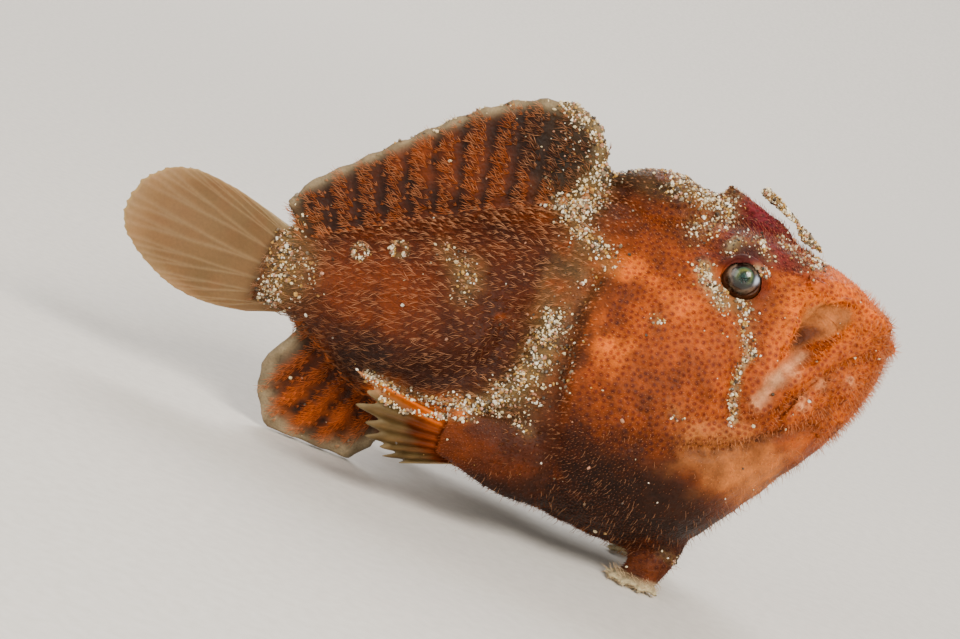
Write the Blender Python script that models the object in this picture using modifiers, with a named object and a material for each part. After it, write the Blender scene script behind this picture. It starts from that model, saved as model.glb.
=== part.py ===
"""A life-size prickly frogfish standing on the sea floor, in its named parts.

The fish faces +X with its back to +Z and its left side to +Y. It is drawn in
millimetres over the floor point under its throat, and then moved so that the
origin is under the middle of its box.
"""

import math

import bmesh
import bpy
import numpy as np
from mathutils import Matrix

MM = 0.001
GAP = 0.3
SHORTEST_EDGES = (0.05, 0.03, 0.015, 0.007, 0.003, 0.001)
RIGHT, LEFT = -1, 1
SIDE_NAMES = {RIGHT: "right", LEFT: "left"}

# The body in side view, from the tail root to the snout: (distance along X, height).
BACK_LINE = [(-42.0, 17.8), (-39.0, 18.7), (-34.0, 21.2), (-28.0, 24.4), (-22.0, 27.6),
             (-16.0, 31.0), (-11.0, 32.6), (-6.0, 33.2), (-1.5, 33.9), (3.0, 33.2),
             (7.5, 32.3), (10.2, 31.1), (12.0, 29.7), (13.0, 28.0), (13.4, 26.2)]
BELLY_LINE = [(-42.0, 10.2), (-39.0, 10.4), (-35.5, 9.2), (-30.5, 6.9), (-25.0, 4.6),
              (-19.0, 3.4), (-12.0, 2.6), (-5.0, 2.0), (0.0, 2.6), (2.8, 4.6),
              (5.2, 8.0), (7.9, 12.2), (10.1, 15.6), (11.8, 19.0), (12.9, 22.4), (13.4, 25.2)]
# Half the body's width at its widest level, and how far the top and bottom lean in.
HALF_WIDTH = [(-42.0, 1.7), (-38.0, 2.7), (-33.0, 4.6), (-28.0, 6.7), (-22.0, 8.9),
              (-17.5, 10.0), (-13.5, 10.8), (-10.0, 11.4), (-5.0, 11.6), (0.0, 10.9),
              (5.0, 9.5), (9.0, 7.8), (11.3, 6.1), (12.7, 4.2), (13.4, 1.6)]
UPPER_LEAN = [(-42.0, 0.05), (-30.0, 0.22), (-20.0, 0.30), (-10.0, 0.24), (0.0, 0.20), (13.4, 0.05)]
SECTION_FULLNESS = 0.86
# Stations crowd together towards the snout, the more so the nearer this is to a quarter turn.
BODY_STATIONS, STATION_CROWDING = 50, 1.35
BODY_SIDES = 36
TAIL_ROOT_X, SNOUT_X = BACK_LINE[0][0], BACK_LINE[-1][0]

# Swellings and hollows of the flank: (x, z, reach along X, reach along Z, height).
SWELLINGS = [
    (-5.5, 18.5, 8.0, 9.5, 1.5),    # cheek and gill cover
    (-9.5, 16.0, 3.2, 7.0, 1.0),    # rear rim of the gill cover
    (-17.6, 16.0, 3.4, 6.5, -2.4),  # hollow behind the gill cover
    (-23.0, 15.5, 7.0, 6.5, 0.8),   # flank over the stomach
    (-2.8, 31.5, 4.0, 1.5, 1.1),    # brow over the eye
    (-1.8, 29.0, 2.6, 2.2, -0.7),   # hollow round the eye
    (3.6, 29.6, 1.8, 2.4, 0.7),     # cheek bone before the eye
    (4.2, 14.6, 3.2, 1.4, -0.8),    # fold under the jaw
]

# Where the flesh is parted, as lines in side view: a thin sheet across the body follows each.
HEAD_PARTING = [(-9.0, 37.0), (-9.8, 31.0), (-11.6, 26.0), (-12.6, 20.0), (-12.4, 14.0),
                (-10.4, 8.0), (-8.0, 4.0), (-7.0, -2.0)]
TAIL_PARTING = [(-35.2, 25.0), (-36.6, 17.0), (-35.6, 4.0)]
JAW_PARTING = [(17.5, 31.3), (13.6, 29.2), (10.4, 28.1), (7.8, 25.8), (6.2, 23.2), (4.9, 19.6),
               (4.1, 17.6), (5.6, 16.4), (9.5, 16.2), (13.0, 15.0), (18.0, 13.0)]
PARTING_REACH = 20.0

# The gape: the skin stretched between the jaws lies sunk behind both lips.
GAPE_CENTRE, GAPE_TILT = (6.5, 26.9), math.radians(50)
GAPE_LENGTH, GAPE_HEIGHT, GAPE_DEPTH = 4.3, 1.75, 1.5
UPPER_LIP = [(4.6, 20.6), (4.3, 23.6), (4.3, 26.6), (5.3, 29.2), (7.2, 30.4), (9.2, 30.4), (11.1, 29.8)]
LIP_RADIUS = 0.72
LOWER_LIP_BELOW_PARTING = 0.85
UPPER_LIP_FRONT, LOWER_LIP_FRONT = (12.4, 0, 29.3), (13.3, 0, 27.4)

EYE_X, EYE_Z = -1.8, 29.3
EYE_RADIUS, EYE_SUNK = 1.6, 0.65
EYE_RIM_RADIUS, EYE_RIM_THICKNESS = 1.85, 0.5
NOSTRILS = [(3.2, 31.2), (4.9, 30.7)]
NOSTRIL_RADIUS, NOSTRIL_HEIGHT, NOSTRIL_BORE = 0.62, 0.75, 0.3
# Fleshy warts under the lower lip: (x, z, radius, height).
CHIN_WARTS = [(8.2, 21.7, 0.7, 0.55), (10.4, 23.0, 0.7, 0.6), (6.4, 19.2, 0.6, 0.45),
              (9.4, 18.9, 0.65, 0.5), (11.1, 20.6, 0.6, 0.5), (11.7, 24.4, 0.6, 0.5)]

# The lure rod laid back over the snout, the horn behind it and the hump of the third spine.
ROD_LINE = [(4.6, 32.4), (3.4, 33.5), (2.0, 34.3), (0.5, 35.1), (-0.9, 35.9), (-2.4, 36.7)]
ROD_RADII = [0.8, 0.52, 0.46, 0.45, 0.44, 0.42]
HORN_LINE = [(2.4, 31.8), (0.8, 33.1), (-1.2, 34.0), (-3.2, 34.8), (-5.6, 35.8)]
HORN_RADII = [1.3, 1.25, 1.15, 0.95, 0.5]
HUMP_LINE = [(-5.4, 33.0), (-8.0, 32.8), (-10.4, 32.9), (-12.6, 33.1), (-14.4, 33.0), (-15.3, 32.8)]
HUMP_HEIGHTS = [2.1, 2.3, 2.6, 2.4, 1.6, 0.6]
HUMP_WIDTHS = [1.7, 3.0, 3.9, 3.6, 2.3, 0.8]

# Each fin: its root line and its margin in side view, both from front to back.
DORSAL_ROOT = [(-16.1, 29.0), (-20.0, 26.9), (-26.0, 23.8), (-32.0, 20.6), (-38.6, 16.9)]
DORSAL_MARGIN = [(-16.3, 34.6), (-17.6, 36.5), (-20.6, 37.8), (-24.6, 36.9), (-28.6, 34.4),
                 (-33.0, 30.4), (-37.4, 26.0), (-41.0, 22.2), (-42.0, 20.2)]
DORSAL_RAYS = 13
ANAL_ROOT = [(-25.6, 7.2), (-29.0, 8.8), (-32.6, 10.4), (-36.2, 12.0)]
ANAL_MARGIN = [(-26.6, 2.0), (-28.6, -0.2), (-31.4, -1.1), (-34.2, -1.0), (-36.8, 0.3),
               (-38.7, 3.4), (-38.8, 6.6), (-37.7, 8.4)]
ANAL_RAYS = 8
CAUDAL_ROOT = [(-39.6, 17.0), (-39.4, 15.6), (-39.3, 13.9), (-39.2, 12.3), (-39.2, 11.0)]
CAUDAL_MARGIN = [(-47.4, 19.5), (-51.6, 19.6), (-54.5, 18.1), (-56.0, 15.3), (-55.6, 12.6),
                 (-53.0, 10.4), (-49.0, 8.9), (-45.0, 8.8)]
CAUDAL_RAYS = 9
TAIL_SWING, TAIL_BEND_X, TAIL_BEND_LENGTH = math.radians(7), -39.0, 14.0

# The arm and hand of one side: (x, distance from the middle, z), with half heights and half widths.
ARM_LINE = [(-9.5, 6.6, 8.6), (-12.6, 9.0, 8.2), (-15.8, 10.9, 8.0), (-18.8, 11.9, 8.1), (-21.4, 12.2, 8.2)]
ARM_HEIGHTS = [4.6, 4.5, 3.9, 3.0, 2.3]
ARM_WIDTHS = [3.0, 2.8, 2.2, 1.6, 1.2]
WRIST = [(-20.2, 12.6, 10.0), (-20.4, 12.5, 8.2), (-20.2, 12.0, 6.3)]
FINGER_TIPS = [(-29.5, 13.3, 10.2), (-29.5, 13.8, 8.7), (-29.1, 13.9, 7.4), (-28.5, 13.7, 6.3),
               (-27.9, 13.3, 5.4), (-27.0, 12.8, 4.7), (-26.0, 12.2, 4.1), (-24.8, 11.6, 3.8)]
FINGER_RADIUS, FINGERTIP_RADIUS = 0.52, 0.28
HAND_WEB_REACH = 0.80

# A pelvic fin: a short leg under the throat and toes spread on the floor.
LEG_LINE = [(0.5, 4.0, 6.0), (0.3, 4.8, 3.6), (-0.1, 5.4, 1.9), (-0.4, 5.6, -0.3)]
LEG_LENGTHS = [2.8, 2.4, 2.1, 1.8]
LEG_WIDTHS = [2.3, 1.9, 1.5, 1.2]
TOE_ROOT = (0.0, 5.5, 0.45)
TOE_TIPS = [(-3.4, 4.7, 0.2), (-3.2, 6.3, 0.2), (-1.9, 7.6, 0.2), (0.0, 8.0, 0.2), (1.6, 7.3, 0.2)]
TOE_RADIUS, TOETIP_RADIUS = 0.62, 0.38

# Coats as seen on the fish: an sRGB colour and a roughness.
COATS = {
    "flank_skin": ("#8a4413", 0.7),
    "head_skin": ("#b8601f", 0.7),
    "spine_skin": ("#7d3438", 0.75),
    "fin_skin": ("#94481a", 0.6),
    "hand_skin": ("#c2571c", 0.5),
    "tail_membrane": ("#b3926a", 0.45),
    "eye": ("#2c3f38", 0.1),
}
COAT_OF_NODE = {
    "head": "head_skin", "lower_jaw": "head_skin", "illicium": "spine_skin",
    "second_dorsal_spine": "spine_skin", "third_dorsal_spine": "spine_skin",
    "dorsal_fin": "fin_skin", "anal_fin": "fin_skin", "caudal_fin": "tail_membrane",
}


def profile(knots):
    """A smooth curve through (place, value) knots, as a function of the place."""
    places, values = np.array(sorted(knots), float).T
    slopes = np.gradient(values, places)

    def at(place):
        place = np.clip(place, places[0], places[-1])
        i = np.clip(np.searchsorted(places, place) - 1, 0, len(places) - 2)
        step = places[i + 1] - places[i]
        t = (place - places[i]) / step
        ends = (1 + 2 * t) * (1 - t) ** 2 * values[i] + t * t * (3 - 2 * t) * values[i + 1]
        return ends + step * (t * (1 - t) ** 2 * slopes[i] - t * t * (1 - t) * slopes[i + 1])

    return at


def resampled(points, count):
    """Evenly spaced points on a smooth curve through the given ones, in any number of dimensions."""
    points = np.array(points, float)
    run = np.concatenate([[0], np.cumsum(np.linalg.norm(np.diff(points, axis=0), axis=1))])
    curves = [profile(list(zip(run, axis))) for axis in points.T]
    places = np.linspace(0, run[-1], count)
    return np.array([[curve(place) for curve in curves] for place in places])


def beside(line, distance, count):
    """A line in side view moved to the left of its own direction."""
    path = resampled(line, count)
    ahead = np.gradient(path, axis=0)
    ahead /= np.linalg.norm(ahead, axis=1)[:, None]
    return path + distance * np.stack([-ahead[:, 1], ahead[:, 0]], axis=1)


back, belly = profile(BACK_LINE), profile(BELLY_LINE)
half_width, upper_lean = profile(HALF_WIDTH), profile(UPPER_LEAN)


def swelling(x, z):
    """How far the flank stands out at a place in side view."""
    return sum(h * math.exp(-((x - cx) / rx) ** 2 - ((z - cz) / rz) ** 2) for cx, cz, rx, rz, h in SWELLINGS)


def flank(x, z):
    """Half the body's width at a place in side view."""
    middle, half = (back(x) + belly(x)) / 2, (back(x) - belly(x)) / 2
    rise = np.clip((z - middle) / half, -1, 1)
    spread = math.sqrt(max(0.0, 1 - abs(rise) ** (2 / SECTION_FULLNESS)))
    wide = half_width(x) * spread ** SECTION_FULLNESS * (1 - upper_lean(x) * rise)
    return wide + swelling(x, z) * spread ** 0.7


def body_ring(x):
    """One cross-section of the body."""
    middle, half = (back(x) + belly(x)) / 2, (back(x) - belly(x)) / 2
    ring = []
    for turn in np.arange(BODY_SIDES) * math.tau / BODY_SIDES:
        side, rise = math.cos(turn), math.sin(turn)
        z = middle + half * math.copysign(abs(rise) ** SECTION_FULLNESS, rise)
        y = math.copysign(flank(x, z), side) if abs(side) > 1e-6 else 0.0
        ring.append((x, y, z))
    return np.array(ring)


def collection(name, shown=True):
    """A new collection in the scene."""
    made = bpy.data.collections.new(name)
    bpy.context.scene.collection.children.link(made)
    made.hide_render = not shown
    return made


def mesh_object(name, points, faces, home):
    """A mesh object from points in millimetres, with its faces turned outwards."""
    mesh = bpy.data.meshes.new(name)
    mesh.from_pydata([tuple(float(v) * MM for v in p) for p in points], [], [tuple(f) for f in faces])
    shaped = bmesh.new()
    shaped.from_mesh(mesh)
    bmesh.ops.recalc_face_normals(shaped, faces=shaped.faces)
    shaped.to_mesh(mesh)
    shaped.free()
    made = bpy.data.objects.new(name, mesh)
    home.objects.link(made)
    return made


def loft(name, rings, home):
    """A closed skin over rings of equal count, with a fan of faces over each end."""
    sides = len(rings[0])
    points = [p for ring in rings for p in ring]
    faces = [(r * sides + i, r * sides + (i + 1) % sides, (r + 1) * sides + (i + 1) % sides, (r + 1) * sides + i)
             for r in range(len(rings) - 1) for i in range(sides)]
    for first in (0, (len(rings) - 1) * sides):
        points.append(np.mean(points[first:first + sides], axis=0))
        faces += [(first + i, first + (i + 1) % sides, len(points) - 1) for i in range(sides)]
    return mesh_object(name, points, faces, home)


def limb(name, line, highs, wides, sides, home, stations=9):
    """A fleshy tube along a line, with oval sections of the given half heights and half widths."""
    path = resampled(line, stations)
    places = np.linspace(0, 1, len(highs))
    high, wide = profile(list(zip(places, highs))), profile(list(zip(places, wides)))
    aheads = np.gradient(path, axis=0)
    across = np.cross(aheads[0], (0, 0, 1) if abs(aheads[0][2]) < np.linalg.norm(aheads[0]) * 0.8 else (1, 0, 0))
    rings = []
    for i, (centre, ahead) in enumerate(zip(path, aheads)):
        ahead /= np.linalg.norm(ahead)
        across -= ahead * across.dot(ahead)
        across /= np.linalg.norm(across)
        up = np.cross(across, ahead)
        share = i / (stations - 1)
        rings.append([centre + across * wide(share) * math.cos(a) + up * high(share) * math.sin(a)
                      for a in np.arange(sides) * math.tau / sides])
    return loft(name, rings, home)


def tube(name, line, radii, home, sides=8, stations=None):
    """A round tapered tube along a line."""
    return limb(name, line, radii, radii, sides, home, stations or len(line))


def sphere(name, centre, radii, home, segments=16, rings=10):
    """An egg-shaped ball."""
    made = bpy.data.meshes.new(name)
    shaped = bmesh.new()
    bmesh.ops.create_uvsphere(shaped, u_segments=segments, v_segments=rings, radius=1)
    for vertex in shaped.verts:
        vertex.co = [MM * (c + r * v) for c, r, v in zip(centre, radii, vertex.co)]
    shaped.to_mesh(made)
    shaped.free()
    ball = bpy.data.objects.new(name, made)
    home.objects.link(ball)
    return ball


def evaluated(thing):
    """Replaces an object's mesh by the one its modifiers make."""
    bpy.context.view_layer.update()
    graph = bpy.context.evaluated_depsgraph_get()
    mesh = bpy.data.meshes.new_from_object(thing.evaluated_get(graph))
    mesh.transform(thing.matrix_world)
    thing.modifiers.clear()
    thing.matrix_world.identity()
    thing.data = mesh
    return thing


def without_slivers(thing):
    """Closes up the shortest edges, which a cut leaves where two surfaces graze, if the skin stays closed."""
    for shortest in SHORTEST_EDGES:
        shaped = bmesh.new()
        shaped.from_mesh(thing.data)
        bmesh.ops.remove_doubles(shaped, verts=shaped.verts, dist=shortest * MM)
        bmesh.ops.dissolve_degenerate(shaped, edges=shaped.edges, dist=shortest * MM)
        bmesh.ops.triangulate(shaped, faces=shaped.faces)
        flaps = {face for edge in shaped.edges if len(edge.link_faces) == 1 for face in edge.link_faces}
        bmesh.ops.delete(shaped, geom=list(flaps), context="FACES")
        if all(edge.is_manifold for edge in shaped.edges) and all(vert.is_manifold for vert in shaped.verts):
            shaped.to_mesh(thing.data)
            shaped.free()
            break
        shaped.free()
    return thing


def bodies_of(mesh):
    """The separate closed surfaces of a mesh, each as (volume, vertex numbers)."""
    shaped = bmesh.new()
    shaped.from_mesh(mesh)
    shaped.verts.ensure_lookup_table()
    found, seen = [], set()
    for start in shaped.verts:
        if start.index in seen:
            continue
        group, edge_of = {start.index}, [start]
        while edge_of:
            for edge in edge_of.pop().link_edges:
                for vertex in edge.verts:
                    if vertex.index not in group:
                        group.add(vertex.index)
                        edge_of.append(vertex)
        seen |= group
        volume = 0.0
        for face in {f for i in group for f in shaped.verts[i].link_faces}:
            corners = [v.co for v in face.verts]
            volume += sum(corners[0].dot(b.cross(c)) for b, c in zip(corners[1:], corners[2:])) / 6
        found.append((volume, group))
    shaped.free()
    return found


def keep_only(thing, group):
    """Drops every vertex of the object that isn't in the group."""
    shaped = bmesh.new()
    shaped.from_mesh(thing.data)
    shaped.verts.ensure_lookup_table()
    bmesh.ops.delete(shaped, geom=[v for v in shaped.verts if v.index not in group], context="VERTS")
    shaped.to_mesh(thing.data)
    shaped.free()
    return thing


def largest_only(thing):
    """Keeps the object's largest closed surface."""
    return keep_only(thing, max(bodies_of(thing.data), key=lambda found: found[0])[1])


def combine(base, others, operation):
    """Joins the other objects to the base, or cuts them from it, and removes them."""
    helpers = collection("helpers", shown=False)
    for other in others:
        for home in list(other.users_collection):
            home.objects.unlink(other)
        helpers.objects.link(other)
    change = base.modifiers.new(operation, "BOOLEAN")
    change.operation = operation
    change.solver = "MANIFOLD"
    change.operand_type = "COLLECTION"
    change.collection = helpers
    evaluated(base)
    for other in others:
        bpy.data.objects.remove(other)
    bpy.data.collections.remove(helpers)
    return largest_only(without_slivers(base))


def copy_of(thing, home):
    """A copy of the object with a mesh of its own."""
    made = bpy.data.objects.new(thing.name + "_copy", thing.data.copy())
    home.objects.link(made)
    return made


def swollen(thing, home, by=GAP):
    """A copy of the object whose surface stands out by the gap, to cut its neighbours clear of it."""
    made = copy_of(thing, home)
    for vertex, normal in zip(made.data.vertices, [v.normal.copy() for v in thing.data.vertices]):
        vertex.co += normal * by * MM
    return made


def sheet(name, line, home):
    """A thin sheet across the body along a line in side view, to part the flesh."""
    line = resampled(line, 3 * len(line))
    points = [(x, y, z) for x, z in line for y in (-PARTING_REACH, PARTING_REACH)]
    faces = [(2 * i, 2 * i + 2, 2 * i + 3, 2 * i + 1) for i in range(len(line) - 1)]
    made = mesh_object(name, points, faces, home)
    skin = made.modifiers.new("gap", "SOLIDIFY")
    skin.thickness = GAP * MM
    skin.offset = 0
    return evaluated(made)


def fin(name, root, margin, rays, home, rows=7, root_half=1.3, edge_half=0.3, ridge=0.2, branch=0.0, wave=0.0):
    """A membrane between a root line and a margin, its rays raised as ridges on both faces.

    Each ray takes four columns: its crest, its two slopes and the web. Branching rays
    split their crest in two towards the margin.
    """
    columns = 4 * (rays - 1) + 1
    roots, tips = resampled(root, columns), resampled(margin, columns)
    layers = []
    for row in range(rows + 1):
        out = row / rows
        layer = []
        for column in range(columns):
            phase = column % 4
            crest = {0: 1 - branch * out, 1: 0.25 + branch * out, 2: 0.0, 3: 0.25 + branch * out}[phase]
            reach = out * (1.0 if phase == 0 else 0.99 if phase != 2 else 0.98)
            x, z = roots[column] + (tips[column] - roots[column]) * reach
            half = root_half + (edge_half - root_half) * out ** 0.6 + ridge * crest * (1 - 0.5 * out)
            sway = wave * out * math.sin(math.tau * column / columns * 1.5)
            layer.append((x, sway, z, half))
        layers.append(layer)
    return sheet_solid(name, [[((x, y + h, z), (x, y - h, z)) for x, y, z, h in layer] for layer in layers], home)


def sheet_solid(name, layers, home):
    """A closed thin solid from layers of (front point, back point), split alike on both faces."""
    wide, deep = len(layers[0]), len(layers)
    points = [pair[face] for face in (0, 1) for layer in layers for pair in layer]
    back_face = wide * deep
    faces = []
    for r in range(deep - 1):
        for c in range(wide - 1):
            a, b, d, e = r * wide + c, r * wide + c + 1, (r + 1) * wide + c, (r + 1) * wide + c + 1
            for corners in ((a, b, e), (a, e, d)):
                faces.append(corners)
                faces.append(tuple(back_face + i for i in reversed(corners)))
    rim = [c for c in range(wide)] + [r * wide + wide - 1 for r in range(1, deep)]
    rim += [(deep - 1) * wide + c for c in range(wide - 2, -1, -1)] + [r * wide for r in range(deep - 2, 0, -1)]
    for a, b in zip(rim, rim[1:] + rim[:1]):
        faces += [(a, b, back_face + b), (a, back_face + b, back_face + a)]
    return mesh_object(name, points, faces, home)


def floor_block(home):
    """Everything under the floor, to cut soles flat."""
    mesh = bpy.data.meshes.new("under_floor")
    shaped = bmesh.new()
    bmesh.ops.create_cube(shaped, size=1)
    for vertex in shaped.verts:
        vertex.co = (vertex.co.x * 200 * MM, vertex.co.y * 100 * MM, (vertex.co.z - 0.5) * 20 * MM)
    shaped.to_mesh(mesh)
    shaped.free()
    block = bpy.data.objects.new("under_floor", mesh)
    home.objects.link(block)
    return block


def standing(thing, home):
    """Cuts the object off at the floor, and puts every corner of the cut on one level."""
    combine(thing, [floor_block(home)], "DIFFERENCE")
    for vertex in thing.data.vertices:
        if abs(vertex.co.z) < SHORTEST_EDGES[0] * MM:
            vertex.co.z = 0
    return thing


def whole_flesh(home):
    """The body from snout to tail root, before it is parted."""
    share = np.sin(np.linspace(0, 1, BODY_STATIONS) * STATION_CROWDING) / math.sin(STATION_CROWDING)
    return loft("flesh", [body_ring(TAIL_ROOT_X + (SNOUT_X - TAIL_ROOT_X) * s) for s in share], home)


def on_flank(line, side, lift=0.0):
    """A line drawn in side view, laid on the flank of one side."""
    return [(x, side * (flank(x, z) + lift), z) for x, z in line]


def lip(name, line, front, home):
    """A rounded lip from one corner of the mouth round the front to the other."""
    right = on_flank(line, RIGHT, -0.15)
    path = right + [front] + [(x, -y, z) for x, y, z in reversed(right)]
    swell = [LIP_RADIUS * 0.6] + [LIP_RADIUS] * 7 + [LIP_RADIUS * 0.6]
    return tube(name, path, swell, home, 8, 25)


def head_details(home):
    """The upper lip, eye rims and nostrils, to be joined to the head."""
    made = [lip("upper_lip", resampled(UPPER_LIP, 9), UPPER_LIP_FRONT, home)]
    for side in (RIGHT, LEFT):
        rim_y = side * (flank(EYE_X, EYE_Z) - 0.05)
        bpy.ops.mesh.primitive_torus_add(
            major_segments=20, minor_segments=8, major_radius=EYE_RIM_RADIUS * MM,
            minor_radius=EYE_RIM_THICKNESS * MM, location=(EYE_X * MM, rim_y * MM, EYE_Z * MM),
            rotation=(math.radians(90) - side * math.radians(14), 0, 0))
        rim = bpy.context.object
        rim.name = f"eye_rim_{side}"
        made.append(evaluated(rim))
        for number, (x, z) in enumerate(NOSTRILS):
            y = flank(x, z)
            line = [(x, side * (y - 0.6), z), (x + 0.1, side * (y + NOSTRIL_HEIGHT), z + 0.25)]
            made.append(tube(f"nostril_{side}_{number}", line, [NOSTRIL_RADIUS, NOSTRIL_RADIUS * 0.8], home, 10, 4))
    return made


def head_hollows(home):
    """The eye sockets, the sunk gapes and the nostril bores, to be cut from the head."""
    made = []
    for side in (RIGHT, LEFT):
        eye_y = side * (flank(EYE_X, EYE_Z) - EYE_SUNK)
        made.append(sphere(f"socket_{side}", (EYE_X, eye_y, EYE_Z), [EYE_RADIUS + GAP] * 3, home))
        x, z = GAPE_CENTRE
        gape = sphere(f"gape_{side}", (0, 0, 0), (GAPE_LENGTH, GAPE_DEPTH + 1.0, GAPE_HEIGHT), home, 20, 12)
        gape.rotation_euler = (0, -GAPE_TILT, side * math.radians(-16))
        gape.location = (x * MM, side * (flank(x, z) + 1.0) * MM, z * MM)
        made.append(evaluated(gape))
        for number, (x, z) in enumerate(NOSTRILS):
            y = flank(x, z)
            line = [(x, side * y, z), (x + 0.15, side * (y + 2 * NOSTRIL_HEIGHT), z + 0.4)]
            made.append(tube(f"bore_{side}_{number}", line, [NOSTRIL_BORE] * 2, home, 8, 3))
    return made


def jaw_details(home):
    """The lower lip and the warts of the chin, to be joined to the jaw."""
    edge = beside(JAW_PARTING[1:6], LOWER_LIP_BELOW_PARTING, 11)[::-1]
    made = [lip("lower_lip", edge[:-1], LOWER_LIP_FRONT, home)]
    for side in (RIGHT, LEFT):
        for number, (x, z, radius, high) in enumerate(CHIN_WARTS):
            y = flank(x, z)
            line = [(x - 0.2, side * (y - 0.6), z + 0.1), (x + 0.2, side * (y + high), z - 0.1)]
            made.append(tube(f"wart_{side}_{number}", line, [radius, radius * 0.9, radius * 0.4], home, 8, 4))
    return made


def parted_flesh(home):
    """The head, lower jaw, trunk and tail stalk, each cut clear of the next."""
    flesh = whole_flesh(home)
    clearance = swollen(flesh, home, 1.2 * GAP)
    combine(flesh, head_details(home) + jaw_details(home), "UNION")
    for name, line in (("head_cut", HEAD_PARTING), ("tail_cut", TAIL_PARTING), ("jaw_cut", JAW_PARTING)):
        cutter = sheet(name, line, home)
        change = flesh.modifiers.new(name, "BOOLEAN")
        change.operation = "DIFFERENCE"
        change.solver = "MANIFOLD"
        change.object = cutter
        evaluated(flesh)
        bpy.data.objects.remove(cutter)
    groups = sorted(bodies_of(flesh.data), key=lambda found: -found[0])[:4]
    places = [np.mean([flesh.data.vertices[i].co.x for i in group]) for _, group in groups]
    by_place = [groups[i][1] for i in np.argsort(places)]
    pieces = {}
    for name, group in zip(("tail_stalk", "trunk", "head", "lower_jaw"), by_place):
        piece = bpy.data.objects.new(name, flesh.data.copy())
        home.objects.link(piece)
        pieces[name] = keep_only(piece, group)
    bpy.data.objects.remove(flesh)
    return pieces, clearance


def pectoral_web(side, wrist, tips, home):
    """The membrane of one hand, a curved fan a little thicker than skin."""
    layers = []
    for out in np.linspace(-0.05, HAND_WEB_REACH, 6):
        layer = []
        for column in range(2 * len(tips) - 1):
            root, tip = wrist[column], (tips[column // 2] + tips[(column + 1) // 2]) / 2
            dip = 0.94 if column % 2 else 1.0
            middle = root + (tip - root) * out * dip
            half = 0.55 - 0.22 * max(out, 0.0)
            layer.append((middle + (0, side * half, 0), middle - (0, side * half, 0)))
        layers.append(layer)
    return sheet_solid("web", layers, home)


def pectoral_fin(side, arm, home):
    """One hand: a web with a finger-like ray along each fold, each ray tip free."""
    mirror = np.array([1, side, 1])
    tips = np.array(FINGER_TIPS) * mirror
    wrist = resampled(WRIST, 2 * len(tips) - 1) * mirror
    hand = pectoral_web(side, wrist, tips, home)
    fingers = []
    for number, tip in enumerate(tips):
        root = wrist[2 * number]
        knuckle = root + (tip - root) * 0.55 + np.array([0, side * 0.35, 0.15])
        fingers.append(tube(f"finger_{number}", [root, knuckle, tip], [FINGER_RADIUS, FINGER_RADIUS * 0.9,
                                                                       FINGERTIP_RADIUS], home, 6, 5))
    combine(hand, fingers, "UNION")
    combine(hand, [swollen(arm, home)], "DIFFERENCE")
    hand.name = f"pectoral_fin_{SIDE_NAMES[side]}"
    return hand


def pectoral_arm(side, clearance, home):
    """The fleshy arm that carries a hand, rooted behind the gill cover."""
    line = np.array(ARM_LINE) * (1, side, 1)
    arm = limb(f"pectoral_arm_{SIDE_NAMES[side]}", line, ARM_HEIGHTS, ARM_WIDTHS, 20, home, 14)
    return combine(arm, [copy_of(clearance, home)], "DIFFERENCE")


def pelvic_fin(side, clearance, home):
    """A short leg with its toes flat on the floor."""
    mirror = np.array([1, side, 1])
    leg = limb(f"pelvic_fin_{SIDE_NAMES[side]}", np.array(LEG_LINE) * mirror, LEG_LENGTHS, LEG_WIDTHS, 14, home, 7)
    root = np.array(TOE_ROOT) * mirror
    toes = []
    for number, tip in enumerate(np.array(TOE_TIPS) * mirror):
        knuckle = root + (tip - root) * 0.55 + np.array([0, 0, 0.25])
        toes.append(tube(f"toe_{number}", [root, knuckle, tip], [TOE_RADIUS, TOE_RADIUS, TOETIP_RADIUS], home, 6, 5))
    combine(leg, toes, "UNION")
    combine(leg, [copy_of(clearance, home)], "DIFFERENCE")
    return standing(leg, home)


def eyeball(side, home):
    """An eye sunk in its socket."""
    y = side * (flank(EYE_X, EYE_Z) - EYE_SUNK)
    return sphere(f"eye_{SIDE_NAMES[side]}", (EYE_X, y, EYE_Z), [EYE_RADIUS] * 3, home)


def material(name, colour, roughness):
    """A plain coat colour."""
    made = bpy.data.materials.new(name)
    made.use_nodes = True
    shader = made.node_tree.nodes["Principled BSDF"]
    channels = [int(colour[i:i + 2], 16) / 255 for i in (1, 3, 5)]
    linear = [c / 12.92 if c <= 0.04045 else ((c + 0.055) / 1.055) ** 2.4 for c in channels]
    shader.inputs["Base Color"].default_value = (*linear, 1)
    shader.inputs["Roughness"].default_value = roughness
    return made


def coat_of(node):
    """The coat that a node wears."""
    if node.startswith("eye"):
        return "eye"
    if node.startswith("pectoral_fin") or node.startswith("pelvic"):
        return "hand_skin"
    return COAT_OF_NODE.get(node, "flank_skin")


def swung(tail):
    """Bends the tail fin a little to one side, more and more towards its margin."""
    for vertex in tail.data.vertices:
        x, y = vertex.co.x / MM - TAIL_BEND_X, vertex.co.y / MM
        turn = TAIL_SWING * np.clip(-x / TAIL_BEND_LENGTH, 0, 1)
        vertex.co.x = MM * (TAIL_BEND_X + x * math.cos(turn) + y * math.sin(turn))
        vertex.co.y = MM * (y * math.cos(turn) - x * math.sin(turn))
    return tail


def build():
    """Builds the whole fish and returns its collection."""
    fish = collection("frogfish")
    pieces, clearance = parted_flesh(fish)
    combine(pieces["head"], head_hollows(fish), "DIFFERENCE")
    for side in (RIGHT, LEFT):
        eyeball(side, fish)
        arm = pectoral_arm(side, clearance, fish)
        pectoral_fin(side, arm, fish)
        pelvic_fin(side, clearance, fish)
    build_spines_and_fins(clearance, fish)
    bpy.data.objects.remove(clearance)
    return fish


def middle(line):
    """A line drawn in side view, in the fish's middle plane."""
    return [(x, 0, z) for x, z in line]


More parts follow.
